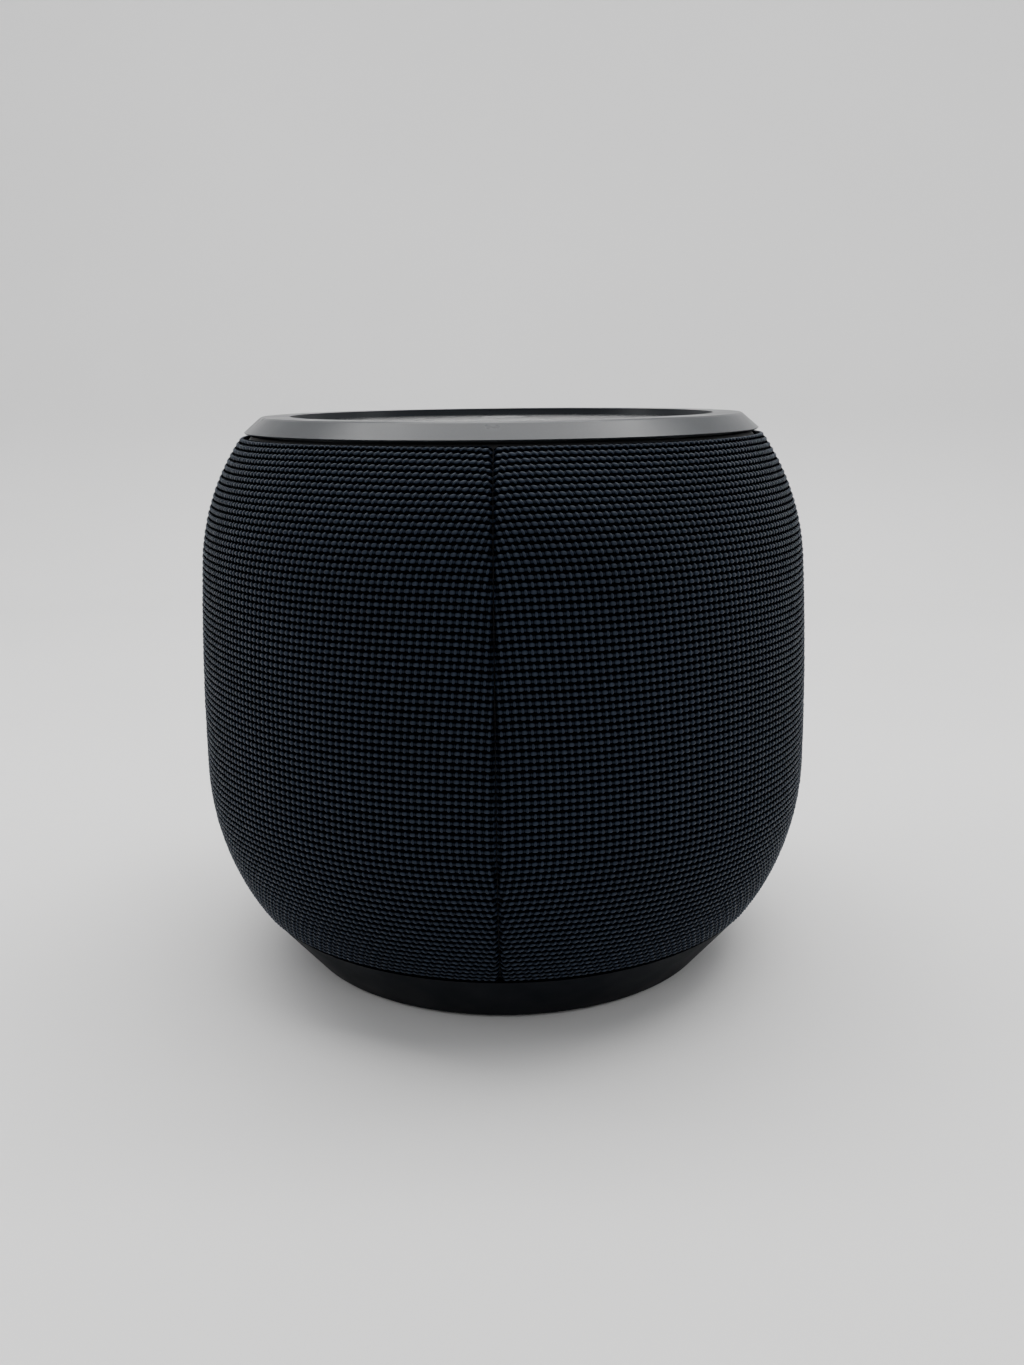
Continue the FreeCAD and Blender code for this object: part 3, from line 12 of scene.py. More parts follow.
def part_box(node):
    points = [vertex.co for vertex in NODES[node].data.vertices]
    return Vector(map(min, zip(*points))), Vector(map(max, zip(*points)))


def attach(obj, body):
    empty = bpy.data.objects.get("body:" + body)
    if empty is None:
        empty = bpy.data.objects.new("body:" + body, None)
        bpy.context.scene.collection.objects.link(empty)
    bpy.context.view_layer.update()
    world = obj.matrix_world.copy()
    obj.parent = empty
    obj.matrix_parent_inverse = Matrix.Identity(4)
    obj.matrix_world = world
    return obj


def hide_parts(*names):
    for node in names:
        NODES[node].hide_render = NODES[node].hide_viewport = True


bl_info = {
    "name": "Smart home hub",
    "version": (1, 0, 0),
    "blender": (4, 5, 0),
    "location": "View3D > Sidebar > Hub",
    "description": "Builds the woven sleeve, the finishes and the studio of a smart home hub",
    "category": "Object",
}

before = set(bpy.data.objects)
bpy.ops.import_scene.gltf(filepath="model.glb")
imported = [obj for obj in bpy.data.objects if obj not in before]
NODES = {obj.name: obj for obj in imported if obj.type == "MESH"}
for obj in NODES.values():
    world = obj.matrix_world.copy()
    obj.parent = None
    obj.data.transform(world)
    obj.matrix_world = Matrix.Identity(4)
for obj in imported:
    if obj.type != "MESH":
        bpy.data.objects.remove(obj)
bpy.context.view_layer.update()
MM = 0.001
SLEEVE_LOW, SLEEVE_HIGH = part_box("fabric_panel_left")

# How one set of yarns lies in a weave, in units of relief: how far it waves over the other set
# (below zero when it starts under it), how high its round back stands and how deep it is set.
Lie = namedtuple("Lie", "wave back drop")
MESH_LEVEL, MESH_UPRIGHT = Lie(1.4, 2.0, 1.5), Lie(-1.9, 1.4, 1.5)
FINE_LEVEL, FINE_UPRIGHT = Lie(1.6, 2.0, 1.6), Lie(-2.3, 1.3, 1.25)
RELIEF_FLOOR = -1.8
# Half widths of the yarns in the material, as shares of the distance between two yarns.
LEVEL_HALF_WIDTH, UPRIGHT_HALF_WIDTH = 0.33, 0.18
# How much the wave of a yarn differs from one crossing to the next.
WAVE_SCATTER = 0.16

# How far the cloth's middle lies inside the outline, and how it turns in at its edges.
CLOTH_SINK = 0.05 * MM
FOLD_POWER = 2.2
TUCK_DEPTH, TUCK_WIDTH = 0.9 * MM, 1.1 * MM
SAG_REACH = 3.2 * MM
# Slow drift of the rows and the columns: its size in yarns, and its lengths round and up.
ROW_DRIFT, ROW_DRIFT_ROUND, ROW_DRIFT_UP, PANEL_PHASE = 0.10, 9 * MM, 13 * MM, 1.3
COLUMN_DRIFT, COLUMN_DRIFT_ROUND, COLUMN_DRIFT_UP = 0.08, 11 * MM, 7 * MM

FLOOR_FRONT, FLOOR_SIDE, WALL_TOP = -1.2, 1.8, 2.2
TURN_STEPS, FLOOR_STEPS, SIDE_STEPS = 25, 8, 9
LIGHT_COLOUR = (1.0, 0.99, 0.97)
# Each light: its place, the point it faces, its width and depth, and its power in watts.
LIGHTS = {
    "overhead": ((0.05, 0.30, 1.35), (0, 0.20, 0), (1.6, 1.2), 27.0),
    "rear_strip": ((0, 0.08, 0.42), (0, 0.13, 0), (1.0, 0.06), 1.6),
    "front_fill": ((0.1, -1.3, 0.95), (0, 0, 0.05), (1.4, 0.8), 6.0),
    "left_fill": ((-1.3, -0.1, 0.55), (0, 0, 0.06), (0.5, 0.9), 3.0),
    "right_fill": ((1.3, -0.1, 0.55), (0, 0, 0.06), (0.5, 0.9), 2.4),
}


def colour(name, text, default):
    """A colour that a user can set."""
    return FloatVectorProperty(
        name=name, description=text, default=default, subtype="COLOR", size=3, min=0, max=1)


def length(name, text, default):
    """A length that a user can set, in metres."""
    return FloatProperty(
        name=name, description=text, default=default, unit="LENGTH", precision=5)


def angle(name, text, degrees):
    """An angle that a user can set."""
    return FloatProperty(
        name=name, description=text, default=math.radians(degrees), unit="ROTATION")


class HubSleeveSettings(bpy.types.PropertyGroup):
    """The barrel's outline and its cloth."""

    waist_radius: length("Waist radius", "Radius of the barrel at its widest", SLEEVE_HIGH.y)
    foot_radius: length("Foot radius", "Radius of the sleeve's lower edge", 54.8 * MM)
    top_radius: length("Top radius", "Radius of the sleeve's upper edge", 53 * MM)
    waist_low: length("Waist height", "Height at which the body is widest", 42.8 * MM)
    bow_height: length("Wall height", "Height of the slightly bowed wall", 42.8 * MM)
    bow_radius: length("Wall bow", "Radius of the wall's bow", 587 * MM)
    soft_radius: length("Lower turn", "Radius of the curve under the wall", 54.4 * MM)
    soft_drop: length("Lower turn drop", "Height that the lower curve takes", 24 * MM)
    warp_pitch: length("Warp pitch", "Distance between two upright yarns", 1.32 * MM)
    weft_pitch: length("Weft pitch", "Distance between two level yarns", 1.25 * MM)
    yarn_lift: length("Yarn lift", "How far the level yarns rise over the upright ones", 0.17 * MM)
    seam_opening: length("Seam opening", "Gap between the two panels at a seam", 0.16 * MM)
    seam_fold: length("Seam fold", "Width over which an edge turns in at a seam", 1.0 * MM)
    seam_pull: length("Seam pull", "How far the rows sag where they meet a seam", 0.45 * MM)
    samples_round: IntProperty(
        name="Columns", description="Mesh columns in each panel", default=640, min=60, max=2000)
    samples_per_row: IntProperty(
        name="Rows per yarn", description="Mesh rows for each level yarn", default=4, min=2, max=12)
    yarn_top: colour("Yarn crown", "Colour where a yarn lies on top", (0.0070, 0.0112, 0.0215))
    # Painted shade: the near-black colour put into the gaps between yarns, where the crevices lie in
    # shadow.
    yarn_gap_painted_shade: colour("Yarn depth", "Colour deep between yarns", (0.0003, 0.0004, 0.0011))


class HubTopSettings(bpy.types.PropertyGroup):
    """The rim and the control top."""

    rim_colour: colour("Rim", "Colour of the bevelled rim", (0.022, 0.025, 0.030))
    panel_colour: colour("Panel", "Colour of the control panel", (0.012, 0.014, 0.015))
    key_colour: colour("Keys", "Colour of the keys", (0.016, 0.018, 0.019))
    light_colour: colour("Light ring", "Colour of the smoked light guide", (0.035, 0.037, 0.040))


class HubBaseSettings(bpy.types.PropertyGroup):
    """The base ring and the foot."""

    base_colour: colour("Base ring", "Colour of the tapered ring", (0.0011, 0.0020, 0.0042))
    foot_colour: colour("Foot", "Colour of the rubber foot", (0.008, 0.008, 0.009))


class HubStageSettings(bpy.types.PropertyGroup):
    """The camera, the floor and the lights."""

    camera_distance: length("Distance", "Camera's level distance from the axis", 0.2666)
    camera_height: length("Height", "Camera's height over the floor", 0.1215)
    camera_turn: angle("Turn", "How far the camera stands round to the right", 1.6)
    camera_tilt: angle("Tilt", "How far the camera looks down", 13.68)
    camera_yaw: angle("Yaw", "How far the camera aims off the axis", 0.34)
    camera_roll: angle("Roll", "How far the camera leans", 0.63)
    camera_lens: FloatProperty(
        name="Lens", description="Focal length", default=32.97, unit="CAMERA")
    floor_colour: colour("Floor", "Colour of the floor and the wall", (0.78, 0.78, 0.785))
    wall_distance: length("Wall", "Where the floor starts to turn up into the wall", 0.42)
    wall_turn: length("Wall turn", "Radius of the turn between floor and wall", 0.10)


# ---------------------------------------------------------------- mesh and material helpers


def made_mesh(name, points, faces):
    """A smooth-shaded mesh object from an array of points and an array of four-cornered faces."""
    mesh = bpy.data.meshes.new(name)
    mesh.vertices.add(len(points))
    mesh.vertices.foreach_set("co", np.asarray(points, np.float32).ravel())
    mesh.loops.add(faces.size)
    mesh.loops.foreach_set("vertex_index", faces.ravel().astype(np.int32))
    mesh.polygons.add(len(faces))
    mesh.polygons.foreach_set("loop_start", np.arange(0, faces.size, 4, dtype=np.int32))
    mesh.polygons.foreach_set("use_smooth", np.ones(len(faces), bool))
    mesh.update(calc_edges=True)
    mesh.validate()
    thing = bpy.data.objects.new(name, mesh)
    bpy.context.scene.collection.objects.link(thing)
    return thing


def grid_faces(rows, columns):
    """Four-cornered faces of a grid whose points run along its columns first."""
    at = np.arange(rows * columns).reshape(rows, columns)
    return np.stack([at[:-1, :-1], at[:-1, 1:], at[1:, 1:], at[1:, :-1]], axis=-1).reshape(-1, 4)


class Finish:
    """A material under construction, with its node tree at hand."""

    def __init__(self, name):
        self.material = bpy.data.materials.new(name)
        self.material.use_nodes = True
        self.tree = self.material.node_tree
        self.shader = self.tree.nodes["Principled BSDF"]
        self.place = self.node("ShaderNodeTexCoord").outputs["Object"]

    def node(self, kind, **values):
        made = self.tree.nodes.new(kind)
        for key, value in values.items():
            setattr(made, key, value)
        return made

    def link(self, start, end):
        self.tree.links.new(start, end)

    def set(self, **values):
        """Sets the shader's own sockets."""
        for key, value in values.items():
            socket = self.shader.inputs[key.replace("_", " ")]
            socket.default_value = (*value, 1) if isinstance(value, (tuple, list)) else value
        return self

    def stretched(self, scale):
        """Object coordinates, scaled along each axis."""
        mapping = self.node("ShaderNodeMapping")
        mapping.inputs["Scale"].default_value = scale
        self.link(self.place, mapping.inputs["Vector"])
        return mapping.outputs["Vector"]

    def noise(self, scale, detail=2.0, rough=0.5, stretch=(1, 1, 1)):
        noise = self.node("ShaderNodeTexNoise")
        noise.inputs["Scale"].default_value = scale
        noise.inputs["Detail"].default_value = detail
        noise.inputs["Roughness"].default_value = rough
        self.link(self.stretched(stretch), noise.inputs["Vector"])
        return noise.outputs["Fac"]

    def spread(self, source, low, high, start=0.3, end=0.7):
        """A value that follows source from low to high."""
        ramp = self.node("ShaderNodeMapRange")
        for key, value in (("From Min", start), ("From Max", end),
                           ("To Min", low), ("To Max", high)):
            ramp.inputs[key].default_value = value
        self.link(source, ramp.inputs["Value"])
        return ramp.outputs["Result"]

    def math(self, operation, first, second=None):
        """One step of arithmetic on numbers or on other nodes' outputs."""
        node = self.node("ShaderNodeMath", operation=operation)
        for socket, value in zip(node.inputs, (first, second)):
            if isinstance(value, (int, float)):
                socket.default_value = value
            elif value is not None:
                self.link(value, socket)
        return node.outputs[0]

    def shades(self, source, dark, light):
        """A colour between dark and light that follows source."""
        mix = self.node("ShaderNodeMix", data_type="RGBA")
        mix.inputs[6].default_value = (*dark, 1)
        mix.inputs[7].default_value = (*light, 1)
        self.link(source, mix.inputs[0])
        return mix.outputs[2]

    def bump(self, source, depth, strength=1.0):
        """Surface relief of depth metres, on top of any relief added before."""
        bump = self.node("ShaderNodeBump")
        bump.inputs["Strength"].default_value = strength
        bump.inputs["Distance"].default_value = depth
        self.link(source, bump.inputs["Height"])
        before = self.shader.inputs["Normal"].links
        if before:
            self.link(before[0].from_socket, bump.inputs["Normal"])
        self.link(bump.outputs["Normal"], self.shader.inputs["Normal"])
        return self


def shade_of(base, factor):
    return tuple(min(1.0, channel * factor) for channel in base)


def moulded(name, base, rough=0.5, grain=2600, depth=0.012 * MM, vary=0.12, **sockets):
    """Moulded plastic or rubber: a fine spark-eroded grain, and faint shifts of shade and gloss."""
    made = Finish(name).set(**sockets)
    clouds = made.spread(made.noise(45, 3), 0, 1)
    made.link(made.shades(clouds, shade_of(base, 1 - vary), shade_of(base, 1 + vary)),
              made.shader.inputs["Base Color"])
    made.link(made.spread(made.noise(110, 4), rough * 0.88, rough * 1.12),
              made.shader.inputs["Roughness"])
    return made.bump(made.noise(grain, 2), depth).material


def metal(name, base, rough=0.3, streak=(1, 1, 14), grain=900, depth=0.004 * MM, **sockets):
    """Bare metal with drawn or turned marks along one axis."""
    made = Finish(name).set(Metallic=1.0, **sockets)
    marks = made.noise(grain, 3, 0.6, streak)
    made.link(made.shades(made.spread(marks, 0, 1), shade_of(base, 0.82), shade_of(base, 1.1)),
              made.shader.inputs["Base Color"])
    made.link(made.spread(made.noise(160, 3), rough * 0.75, rough * 1.3),
              made.shader.inputs["Roughness"])
    return made.bump(marks, depth).material


def wear(names, material):
    """Puts one material on each of these CAD nodes."""
    for name in names:
        slots = NODES[name].material_slots
        for slot in slots:
            slot.link = "OBJECT"
            slot.material = material
        if not slots:
            NODES[name].data.materials.append(material)


# ---------------------------------------------------------------- the barrel's outline


def barrel_outline(cloth):
    """The barrel's meridian as stretches: (length, function from way along to radius, height and
    the slope of the outward normal)."""
    waist, low, high = cloth.waist_radius, SLEEVE_LOW.z, SLEEVE_HIGH.z
    sine = cloth.soft_drop / cloth.soft_radius
    cosine = math.sqrt(1 - sine * sine)
    turn = (waist - cloth.soft_radius * (1 - cosine), cloth.waist_low - cloth.soft_drop)
    foot_radius, foot_centre = closing_arc(turn, cosine, -sine, (cloth.foot_radius, low))
    bow_sine = cloth.bow_height / cloth.bow_radius
    bow_cosine = math.sqrt(1 - bow_sine * bow_sine)
    wall_top = (waist - cloth.bow_radius * (1 - bow_cosine), cloth.waist_low + cloth.bow_height)
    crown_radius, crown_centre = closing_arc(
        wall_top, bow_cosine, bow_sine, (cloth.top_radius, high))

    def arc(centre, radius, first, last):
        def at(way):
            turned = first + way / radius
            return (centre[0] + radius * np.cos(turned), centre[1] + radius * np.sin(turned), turned)
        return radius * (last - first), at

    foot_turn = math.atan2(low - foot_centre[1], cloth.foot_radius - foot_centre[0])
    crown_turn = math.atan2(high - crown_centre[1], cloth.top_radius - crown_centre[0])
    return [
        arc(foot_centre, foot_radius, foot_turn, -math.asin(sine)),
        arc((waist - cloth.soft_radius, cloth.waist_low), cloth.soft_radius, -math.asin(sine), 0),
        arc((waist - cloth.bow_radius, cloth.waist_low), cloth.bow_radius, 0, math.asin(bow_sine)),
        arc(crown_centre, crown_radius, math.asin(bow_sine), crown_turn),
    ]


def closing_arc(start, cosine, sine, end):
    """Radius and centre of the arc that leaves start square to the normal (cosine, sine) and
    passes through end."""
    run, rise = start[0] - end[0], end[1] - start[1]
    radius = (run * run + rise * rise) / (2 * (run * cosine - rise * sine))
    return radius, (start[0] - radius * cosine, start[1] - radius * sine)


def along_barrel(cloth, ways):
    """Radius, height and normal slope at each way along the meridian from the foot."""
    radius, height, slope = np.zeros_like(ways), np.zeros_like(ways), np.zeros_like(ways)
    start = 0.0
    stretches = barrel_outline(cloth)
    for index, (long, at) in enumerate(stretches):
        last = index == len(stretches) - 1
        here = (ways >= start) & ((ways < start + long) | last)
        radius[here], height[here], slope[here] = at(ways[here] - start)
        start += long
    return radius, height, slope


# ---------------------------------------------------------------- woven panels


def scatter(rows, columns, seed):
    """A repeatable random number from -1 to 1 for each crossing of a row and a column, by the
    common sine hash."""
    mixed = np.sin(rows * 127.1 + columns * 311.7 + seed * 74.7) * 43758.5453
    return 2 * (mixed - np.floor(mixed)) - 1


def ridge(offset):
    """A smooth ridge, 1 at a yarn's middle and 0 halfway to the next yarn."""
    return 0.5 + 0.5 * np.cos(2 * math.pi * offset)


def weave_relief(across, up, lift):
    """Height of a plain weave of thick level yarns and thin upright ones.  across and up count
    yarns, and lift is how far a level yarn rises over an upright one."""
    row, column = np.floor(up + 0.5), np.floor(across + 0.5)
    loose = 1 + WAVE_SCATTER * scatter(row, np.floor((across + row) / 2), 1)
    tight = 1 + WAVE_SCATTER * scatter(row, column, 2)
    level = (MESH_LEVEL.wave * np.cos(math.pi * (across + row)) * loose
             + MESH_LEVEL.back * ridge(up - row) - MESH_LEVEL.drop)
    upright = (MESH_UPRIGHT.wave * np.cos(math.pi * (up + column)) * tight
               + MESH_UPRIGHT.back * ridge(across - column) - MESH_UPRIGHT.drop)
    return lift * np.maximum(np.maximum(level, upright), RELIEF_FLOOR)


def woven_panel(name, cloth, way):
    """One half of the sleeve, from seam to seam, woven in relief.  way is 1 for the +X half."""
    stretches = barrel_outline(cloth)
    total = sum(long for long, _ in stretches)
    rows = round(total / cloth.weft_pitch)
    high = rows * cloth.samples_per_row + 1
    wide = cloth.samples_round
    ways = np.linspace(0, total, high)
    radius, height, slope = (v[:, None] for v in along_barrel(cloth, ways))
    # Columns are spaced evenly from seam to seam.
    even = np.linspace(-1, 1, wide)[None, :]
    reach = math.pi / 2 - cloth.seam_opening / 2 / radius
    turn = even * reach
    across = turn * radius
    to_seam = (reach - np.abs(turn)) * radius
    sag = cloth.seam_pull * np.exp(-to_seam / SAG_REACH)
    rise = ways[:, None]
    row_drift = (ROW_DRIFT * np.sin(across / ROW_DRIFT_ROUND + PANEL_PHASE * way)
                 * np.sin(rise / ROW_DRIFT_UP))
    up = (rise + sag) / cloth.weft_pitch + row_drift
    column_drift = COLUMN_DRIFT * np.sin(rise / COLUMN_DRIFT_UP + across / COLUMN_DRIFT_ROUND)
    warp = across / cloth.warp_pitch + column_drift
    relief = weave_relief(warp, up, cloth.yarn_lift)
    # Edges turn in at the seams, at the rim and at the base ring.
    fold = cloth.seam_fold * (1 - np.clip(to_seam / cloth.seam_fold, 0, 1)) ** FOLD_POWER
    edge = np.minimum(rise, total - rise)
    tuck = TUCK_DEPTH * (1 - np.clip(edge / TUCK_WIDTH, 0, 1)) ** 2
    out = relief - CLOTH_SINK - fold - tuck
    r = radius + out * np.cos(slope)
    z = height + out * np.sin(slope)
    heading = turn if way > 0 else turn + math.pi
    points = np.stack([r * np.cos(heading), r * np.sin(heading), z], axis=-1)
    faces = grid_faces(high, wide)
    panel = made_mesh(name, points.reshape(-1, 3), faces)
    mesh = panel.data
    for key, value in (("weave_across", warp), ("weave_up", up)):
        layer = mesh.attributes.new(key, "FLOAT", "POINT")
        layer.data.foreach_set("value", value.astype(np.float32).ravel())
    flat = np.stack(np.broadcast_arrays((even + 1) / 2, rise / total), axis=-1)
    spots = flat.reshape(-1, 2)[faces.ravel()]
    mesh.uv_layers.new(name="OFBake").uv.foreach_set("vector", spots.astype(np.float32).ravel())
    return panel, total


def woven_cloth(cloth):
    """Near-black navy yarns with round backs, and painted shade that darkens the colour to black in
    the gaps between them.
    """
    made = Finish("woven_yarn").set(Specular_Tint=(0.66, 0.80, 1.0))
    across = made.node("ShaderNodeAttribute", attribute_name="weave_across").outputs["Fac"]
    up = made.node("ShaderNodeAttribute", attribute_name="weave_up").outputs["Fac"]
    row = made.math("FLOOR", made.math("ADD", up, 0.5))
    column = made.math("FLOOR", made.math("ADD", across, 0.5))

    def yarn(place, middle, half_width):
        """The rounded top of a yarn across its width."""
        off = made.math("DIVIDE", made.math("SUBTRACT", place, middle), half_width)
        return made.math("SQRT", made.math("MAXIMUM", made.math(
            "SUBTRACT", 1.0, made.math("MULTIPLY", off, off)), 0.0))

    def crimp(place, middle):
        """1 where a yarn lies on top of the crossing one and -1 where it lies under it."""
        return made.math("COSINE", made.math("MULTIPLY", made.math("ADD", place, middle), math.pi))

    def laid(wave, back, lie):
        """The relief of one set of yarns."""
        total = made.math("ADD", made.math("MULTIPLY", wave, lie.wave),
                          made.math("MULTIPLY", back, lie.back))
        return made.math("SUBTRACT", total, lie.drop)

    level = laid(crimp(across, row), yarn(up, row, LEVEL_HALF_WIDTH), FINE_LEVEL)
    upright = laid(crimp(up, column), yarn(across, column, UPRIGHT_HALF_WIDTH), FINE_UPRIGHT)
    relief = made.math("MAXIMUM", made.math("MAXIMUM", level, upright), RELIEF_FLOOR)
    # Painted shade: following the relief, the colour falls from the yarn's own colour on its crown
    # to near black deep in the gaps. The patches and fibre add random tone.
    crown = made.spread(relief, 0, 1, 0.3, 1.8)
    patches = made.spread(made.noise(38, 3), 0.80, 1.20)
    fibre = made.spread(made.noise(5200, 2, 0.6, (1, 1, 0.35)), 0.70, 1.30)
    shade = made.math("MULTIPLY", made.math("MULTIPLY", patches, fibre), crown)
    made.link(made.shades(shade, tuple(cloth.yarn_gap_painted_shade), tuple(cloth.yarn_top)),
              made.shader.inputs["Base Color"])
    made.link(made.spread(relief, 0.95, 0.42, -0.2, 1.2), made.shader.inputs["Roughness"])
    made.link(made.spread(relief, 0.0, 0.42, 0.2, 2.0), made.shader.inputs["Specular IOR Level"])
    made.bump(relief, 0.11 * MM)
    return made.bump(made.noise(4200, 3, 0.6), 0.02 * MM, 0.7).material


# ---------------------------------------------------------------- operators


class HUB_OT_stage(bpy.types.Operator):
    """Set up the camera, a pale floor that turns up into a wall, and soft lights"""

    bl_idname = "hub.stage"
    bl_label = "Camera, floor and lights"

    def execute(self, context):
        stage = context.scene.hub_stage
        self.add_camera(context, stage)
        self.add_floor(stage)
        self.add_lights(context)
        return {"FINISHED"}

    def add_camera(self, context, stage):
        data = bpy.data.cameras.new("camera")
        data.lens, data.sensor_width = stage.camera_lens, 36
        data.clip_start, data.clip_end = 0.01, 20
        camera = bpy.data.objects.new("camera", data)
        context.scene.collection.objects.link(camera)
        turn = stage.camera_turn
        spot = Vector((math.sin(turn), -math.cos(turn), 0)) * stage.camera_distance
        spot.z = stage.camera_height
        aim = Matrix.Rotation(turn - stage.camera_yaw, 4, "Z")
        tilt = Matrix.Rotation(math.pi / 2 - stage.camera_tilt, 4, "X")
        lean = Matrix.Rotation(-stage.camera_roll, 4, "Z")
        camera.matrix_world = Matrix.Translation(spot) @ aim @ tilt @ lean
        context.scene.camera = camera

    def add_floor(self, stage):
        turn, back = stage.wall_turn, stage.wall_distance
        steps = np.linspace(0, math.pi / 2, TURN_STEPS)
        level = np.linspace(FLOOR_FRONT, back, FLOOR_STEPS)[:-1]
        depth = np.concatenate([level, back + turn * np.sin(steps), [back + turn]])
        rise = np.concatenate([np.zeros(len(level)), turn * (1 - np.cos(steps)), [WALL_TOP]])
        side = np.linspace(-FLOOR_SIDE, FLOOR_SIDE, SIDE_STEPS)
        points = np.stack(np.broadcast_arrays(side[None, :], depth[:, None], rise[:, None]), -1)
        floor = made_mesh("floor", points.reshape(-1, 3), grid_faces(len(depth), len(side)))
        made = Finish("pale_floor").set(Roughness=0.55, Specular_IOR_Level=0.3)
        base = tuple(stage.floor_colour)
        made.link(made.shades(made.spread(made.noise(7, 4), 0, 1), shade_of(base, 0.975),
                              shade_of(base, 1.015)), made.shader.inputs["Base Color"])
        made.bump(made.noise(420, 3), 0.03 * MM)
        floor.data.materials.append(made.material)

    def add_lights(self, context):
        world = bpy.data.worlds.new("studio")
        world.use_nodes = True
        sky = world.node_tree.nodes["Background"]
        sky.inputs["Color"].default_value = (0.94, 0.965, 1.0, 1)
        sky.inputs["Strength"].default_value = 0.30
        context.scene.world = world
        for name, (spot, target, size, power) in LIGHTS.items():
            data = bpy.data.lights.new(name, "AREA")
            data.shape, data.size, data.size_y = "RECTANGLE", size[0], size[1]
            data.energy, data.color = power, LIGHT_COLOUR
            lamp = bpy.data.objects.new(name, data)
            context.scene.collection.objects.link(lamp)
            lamp.location = spot
            aim = Vector(target) - Vector(spot)
            lamp.rotation_euler = aim.to_track_quat("-Z", "Y").to_euler()


class HUB_OT_sleeve(bpy.types.Operator):
    """Weave the two fabric panels and dress the strips behind their seams"""

    bl_idname = "hub.sleeve"
    bl_label = "Woven sleeve"

    def execute(self, context):
        cloth = context.scene.hub_sleeve
        yarn = woven_cloth(cloth)
        for name, node, way in (("woven_panel_left", "fabric_panel_left", -1),
                                ("woven_panel_right", "fabric_panel_right", 1)):
            panel, tall = woven_panel(name, cloth, way)
            panel.data.materials.append(yarn)
            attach(panel, "housing")
            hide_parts(node)
        wear(["seam_strips"], moulded("seam_tape", (0.006, 0.006, 0.007), 0.8))
        wear(["grille_cage_lower", "grille_cage_upper"],
             moulded("cage_plastic", (0.010, 0.010, 0.011), 0.6))
        return {"FINISHED"}


class HUB_OT_top(bpy.types.Operator):
    """Finish the bevelled rim, the light ring, the control panel and the keys"""

    bl_idname = "hub.top"
    bl_label = "Rim and control top"

    def execute(self, context):
        top = context.scene.hub_top
        rim = Finish("rim_paint").set(Metallic=0.15, Specular_IOR_Level=0.36)
        base = tuple(top.rim_colour)
        flakes = rim.spread(rim.noise(9000, 1), 0, 1, 0.35, 0.65)
        rim.link(rim.shades(flakes, shade_of(base, 0.85), shade_of(base, 1.2)),
                 rim.shader.inputs["Base Color"])
        rim.link(rim.spread(rim.noise(90, 4), 0.27, 0.36), rim.shader.inputs["Roughness"])
        rim.bump(rim.noise(3000, 2), 0.006 * MM)
        wear(["rim_ring"], rim.material)
        wear(["touch_panel"], moulded(
            "gloss_panel", tuple(top.panel_colour), 0.16, 900, 0.001 * MM, 0.05, Coat_Weight=0.3))
        wear(["light_ring"], moulded("smoked_guide", tuple(top.light_colour), 0.24, 700,
                                     0.001 * MM, 0.06))
        wear(["volume_up_key", "volume_down_key", "action_key", "mic_mute_key"],
             moulded("key_plastic", tuple(top.key_colour), 0.26, 2200, 0.003 * MM, 0.08))
        return {"FINISHED"}


class HUB_OT_base(bpy.types.Operator):
    """Finish the tapered base ring, the rubber foot, the reset button and the power socket"""

    bl_idname = "hub.base"
    bl_label = "Base and foot"

    def execute(self, context):
        base = context.scene.hub_base
        wear(["base_cover"], moulded("base_plastic", tuple(base.base_colour), 0.50, 3200,
                                     0.006 * MM, 0.08, Specular_IOR_Level=0.05))
        wear(["foot_ring"], moulded("foot_rubber", tuple(base.foot_colour), 0.75, 1500,
                                    0.03 * MM))
        wear(["reset_button"], moulded("button_plastic", (0.03, 0.03, 0.032), 0.45))
        wear(["usb_socket"], metal("socket_steel", (0.60, 0.60, 0.61), 0.28, (1, 16, 1)))
        return {"FINISHED"}


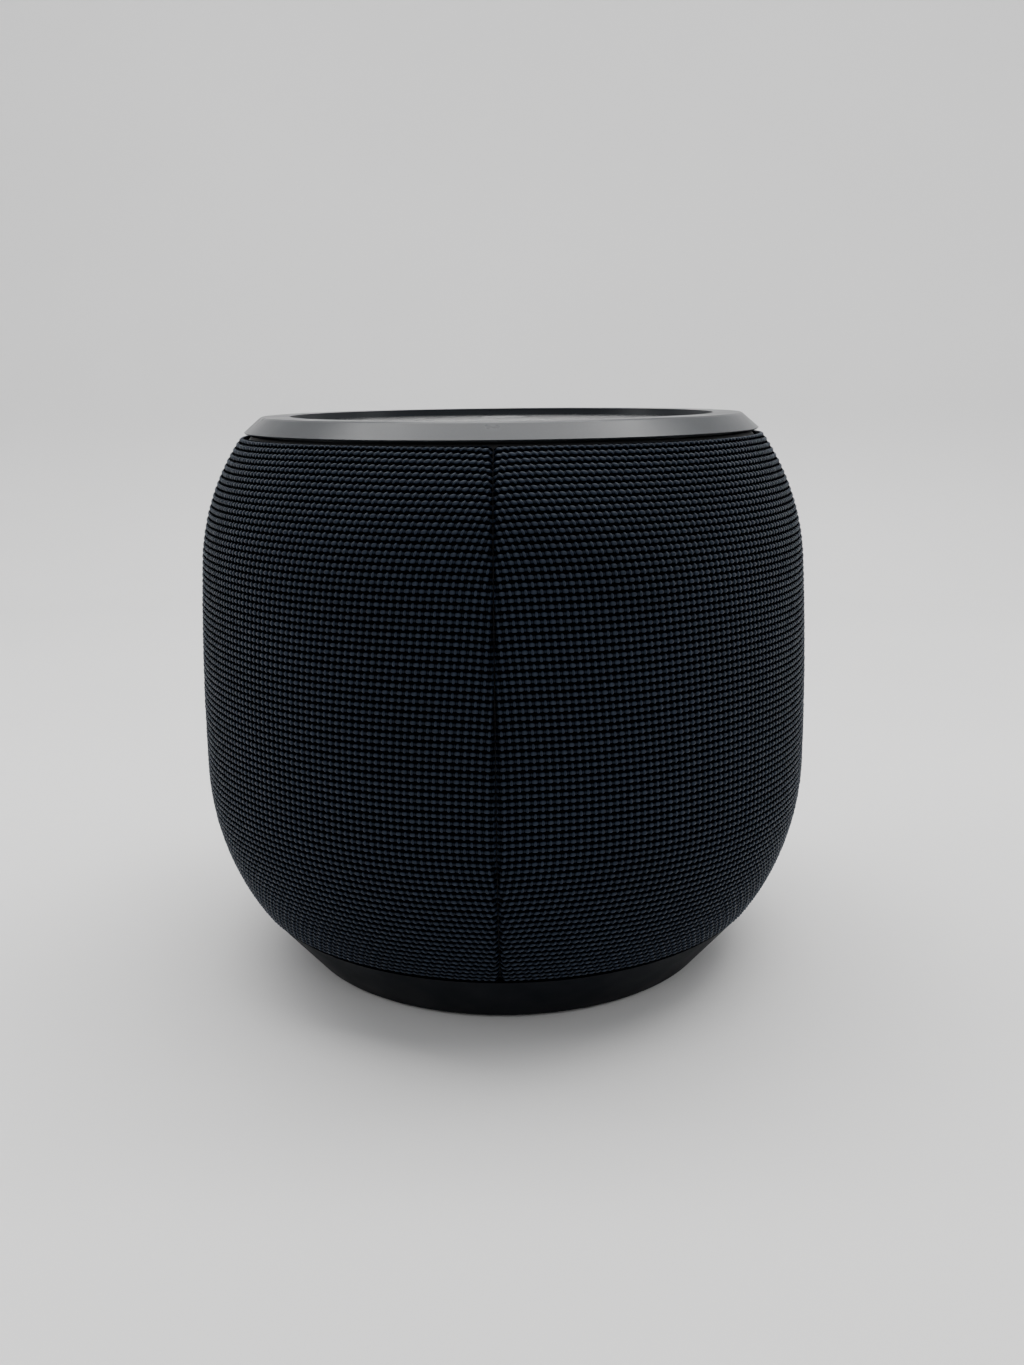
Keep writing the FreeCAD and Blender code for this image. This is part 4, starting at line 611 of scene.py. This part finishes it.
class HUB_OT_speaker(bpy.types.Operator):
    """Finish the driver, the passive radiators, the chamber and the deflector"""

    bl_idname = "hub.speaker"
    bl_label = "Speaker"

    def execute(self, context):
        steel = metal("plated_steel", (0.58, 0.58, 0.60), 0.32)
        rubber = moulded("butyl_rubber", (0.014, 0.014, 0.015), 0.55, 900, 0.02 * MM)
        black = moulded("chamber_plastic", (0.020, 0.020, 0.022), 0.5)
        pulp = moulded("cone_pulp", (0.022, 0.021, 0.020), 0.82, 1300, 0.12 * MM, 0.25)
        wear(["driver_top_plate", "driver_yoke", "radiator_plate_left", "radiator_plate_right"],
             steel)
        wear(["driver_basket"], moulded("basket_coat", (0.018, 0.018, 0.020), 0.42))
        wear(["driver_magnet"], moulded("ferrite", (0.045, 0.045, 0.048), 0.66, 700, 0.05 * MM))
        wear(["driver_cone", "dust_cap"], pulp)
        wear(["coil_former"], metal("coil_foil", (0.75, 0.75, 0.76), 0.35))
        wear(["coil_winding"], self.winding())
        wear(["driver_surround", "radiator_surround_left", "radiator_surround_right",
              "lead_grommet"], rubber)
        wear(["driver_spider"], self.spider())
        wear(["driver_gasket", "chamber_gasket"],
             moulded("closed_foam", (0.020, 0.020, 0.021), 0.9, 1100, 0.15 * MM, 0.3))
        wear(["chamber_body", "chamber_lid", "radiator_frame_left", "radiator_frame_right",
              "sound_deflector"], black)
        return {"FINISHED"}

    def winding(self):
        """Enamelled copper wire, laid turn on turn."""
        made = Finish("copper_winding").set(Metallic=1.0, Roughness=0.3)
        wave = made.node("ShaderNodeTexWave", bands_direction="Z")
        wave.inputs["Scale"].default_value = 700
        made.link(made.place, wave.inputs["Vector"])
        made.link(made.shades(wave.outputs["Fac"], (0.24, 0.075, 0.025), (0.72, 0.30, 0.13)),
                  made.shader.inputs["Base Color"])
        return made.bump(wave.outputs["Fac"], 0.1 * MM).material

    def spider(self):
        """Resin-treated cloth."""
        made = Finish("spider_cloth").set(Roughness=0.8)
        check = made.node("ShaderNodeTexChecker")
        check.inputs["Scale"].default_value = 2600
        made.link(made.place, check.inputs["Vector"])
        made.link(made.shades(check.outputs["Fac"], (0.30, 0.17, 0.06), (0.42, 0.26, 0.10)),
                  made.shader.inputs["Base Color"])
        return made.bump(check.outputs["Fac"], 0.05 * MM).material


class HUB_OT_electronics(bpy.types.Operator):
    """Finish the circuit boards, their parts, the tray, the leads and the screws"""

    bl_idname = "hub.electronics"
    bl_label = "Electronics"

    def execute(self, context):
        wear(["main_board", "control_board", "power_board", "antennas"], self.board())
        wear(["board_components", "power_components", "key_switches"],
             moulded("chip_epoxy", (0.016, 0.016, 0.017), 0.5, 1800, 0.01 * MM))
        wear(["shield_can", "microphones"], metal("tin_plate", (0.66, 0.66, 0.67), 0.28))
        wear(["heat_spreader"], metal("spreader_aluminium", (0.74, 0.74, 0.75), 0.36, (1, 12, 1)))
        wear(["thermal_pad"], moulded("thermal_pad", (0.35, 0.37, 0.42), 0.8, 900, 0.05 * MM))
        wear(["status_leds"], moulded("led_resin", (0.75, 0.74, 0.68), 0.2, 500, 0.002 * MM))
        wear(["microphone_seals"], moulded("seal_foam", (0.02, 0.02, 0.02), 0.9, 1000, 0.1 * MM))
        wear(["top_tray"], moulded("tray_plastic", (0.020, 0.020, 0.022), 0.5))
        wear(["power_lead", "speaker_lead"], moulded("lead_jacket", (0.012, 0.012, 0.013), 0.5))
        wear(["flex_cable"], moulded("flex_film", (0.32, 0.13, 0.02), 0.25, 300, 0.004 * MM))
        wear(["short_screws", "long_screws", "board_screws", "power_board_screws"],
             metal("screw_steel", (0.50, 0.50, 0.52), 0.3))
        return {"FINISHED"}

    def board(self):
        """Green solder mask over traces and ground fill."""
        made = Finish("solder_mask").set(Roughness=0.38, Coat_Weight=0.3)
        cells = made.node("ShaderNodeTexVoronoi", feature="DISTANCE_TO_EDGE")
        cells.inputs["Scale"].default_value = 420
        made.link(made.place, cells.inputs["Vector"])
        trace = made.spread(cells.outputs["Distance"], 1, 0, 0.03, 0.08)
        made.link(made.shades(trace, (0.008, 0.055, 0.028), (0.020, 0.115, 0.060)),
                  made.shader.inputs["Base Color"])
        return made.bump(trace, 0.03 * MM).material


class HUB_PT_panel(bpy.types.Panel):
    """Lists the steps that build the hub"""

    bl_idname = "HUB_PT_panel"
    bl_label = "Smart home hub"
    bl_space_type = "VIEW_3D"
    bl_region_type = "UI"
    bl_category = "Hub"

    def draw(self, context):
        layout = self.layout
        for step in STEPS:
            layout.operator(step.bl_idname)
        for group in SETTINGS:
            box = layout.box()
            for name in SETTINGS[group].__annotations__:
                box.prop(getattr(context.scene, group), name)


STEPS = (HUB_OT_stage, HUB_OT_sleeve, HUB_OT_top, HUB_OT_base, HUB_OT_speaker, HUB_OT_electronics)
SETTINGS = {"hub_sleeve": HubSleeveSettings, "hub_top": HubTopSettings,
            "hub_base": HubBaseSettings, "hub_stage": HubStageSettings}


def register():
    for group, settings in SETTINGS.items():
        bpy.utils.register_class(settings)
        setattr(bpy.types.Scene, group, PointerProperty(type=settings))
    for step in STEPS:
        bpy.utils.register_class(step)
    bpy.utils.register_class(HUB_PT_panel)


def unregister():
    bpy.utils.unregister_class(HUB_PT_panel)
    for step in reversed(STEPS):
        bpy.utils.unregister_class(step)
    for group, settings in SETTINGS.items():
        delattr(bpy.types.Scene, group)
        bpy.utils.unregister_class(settings)


def main():
    register()
    bpy.ops.hub.stage()
    bpy.ops.hub.sleeve()
    bpy.ops.hub.top()
    bpy.ops.hub.base()
    bpy.ops.hub.speaker()
    bpy.ops.hub.electronics()


if __name__ == "__main__":
    main()
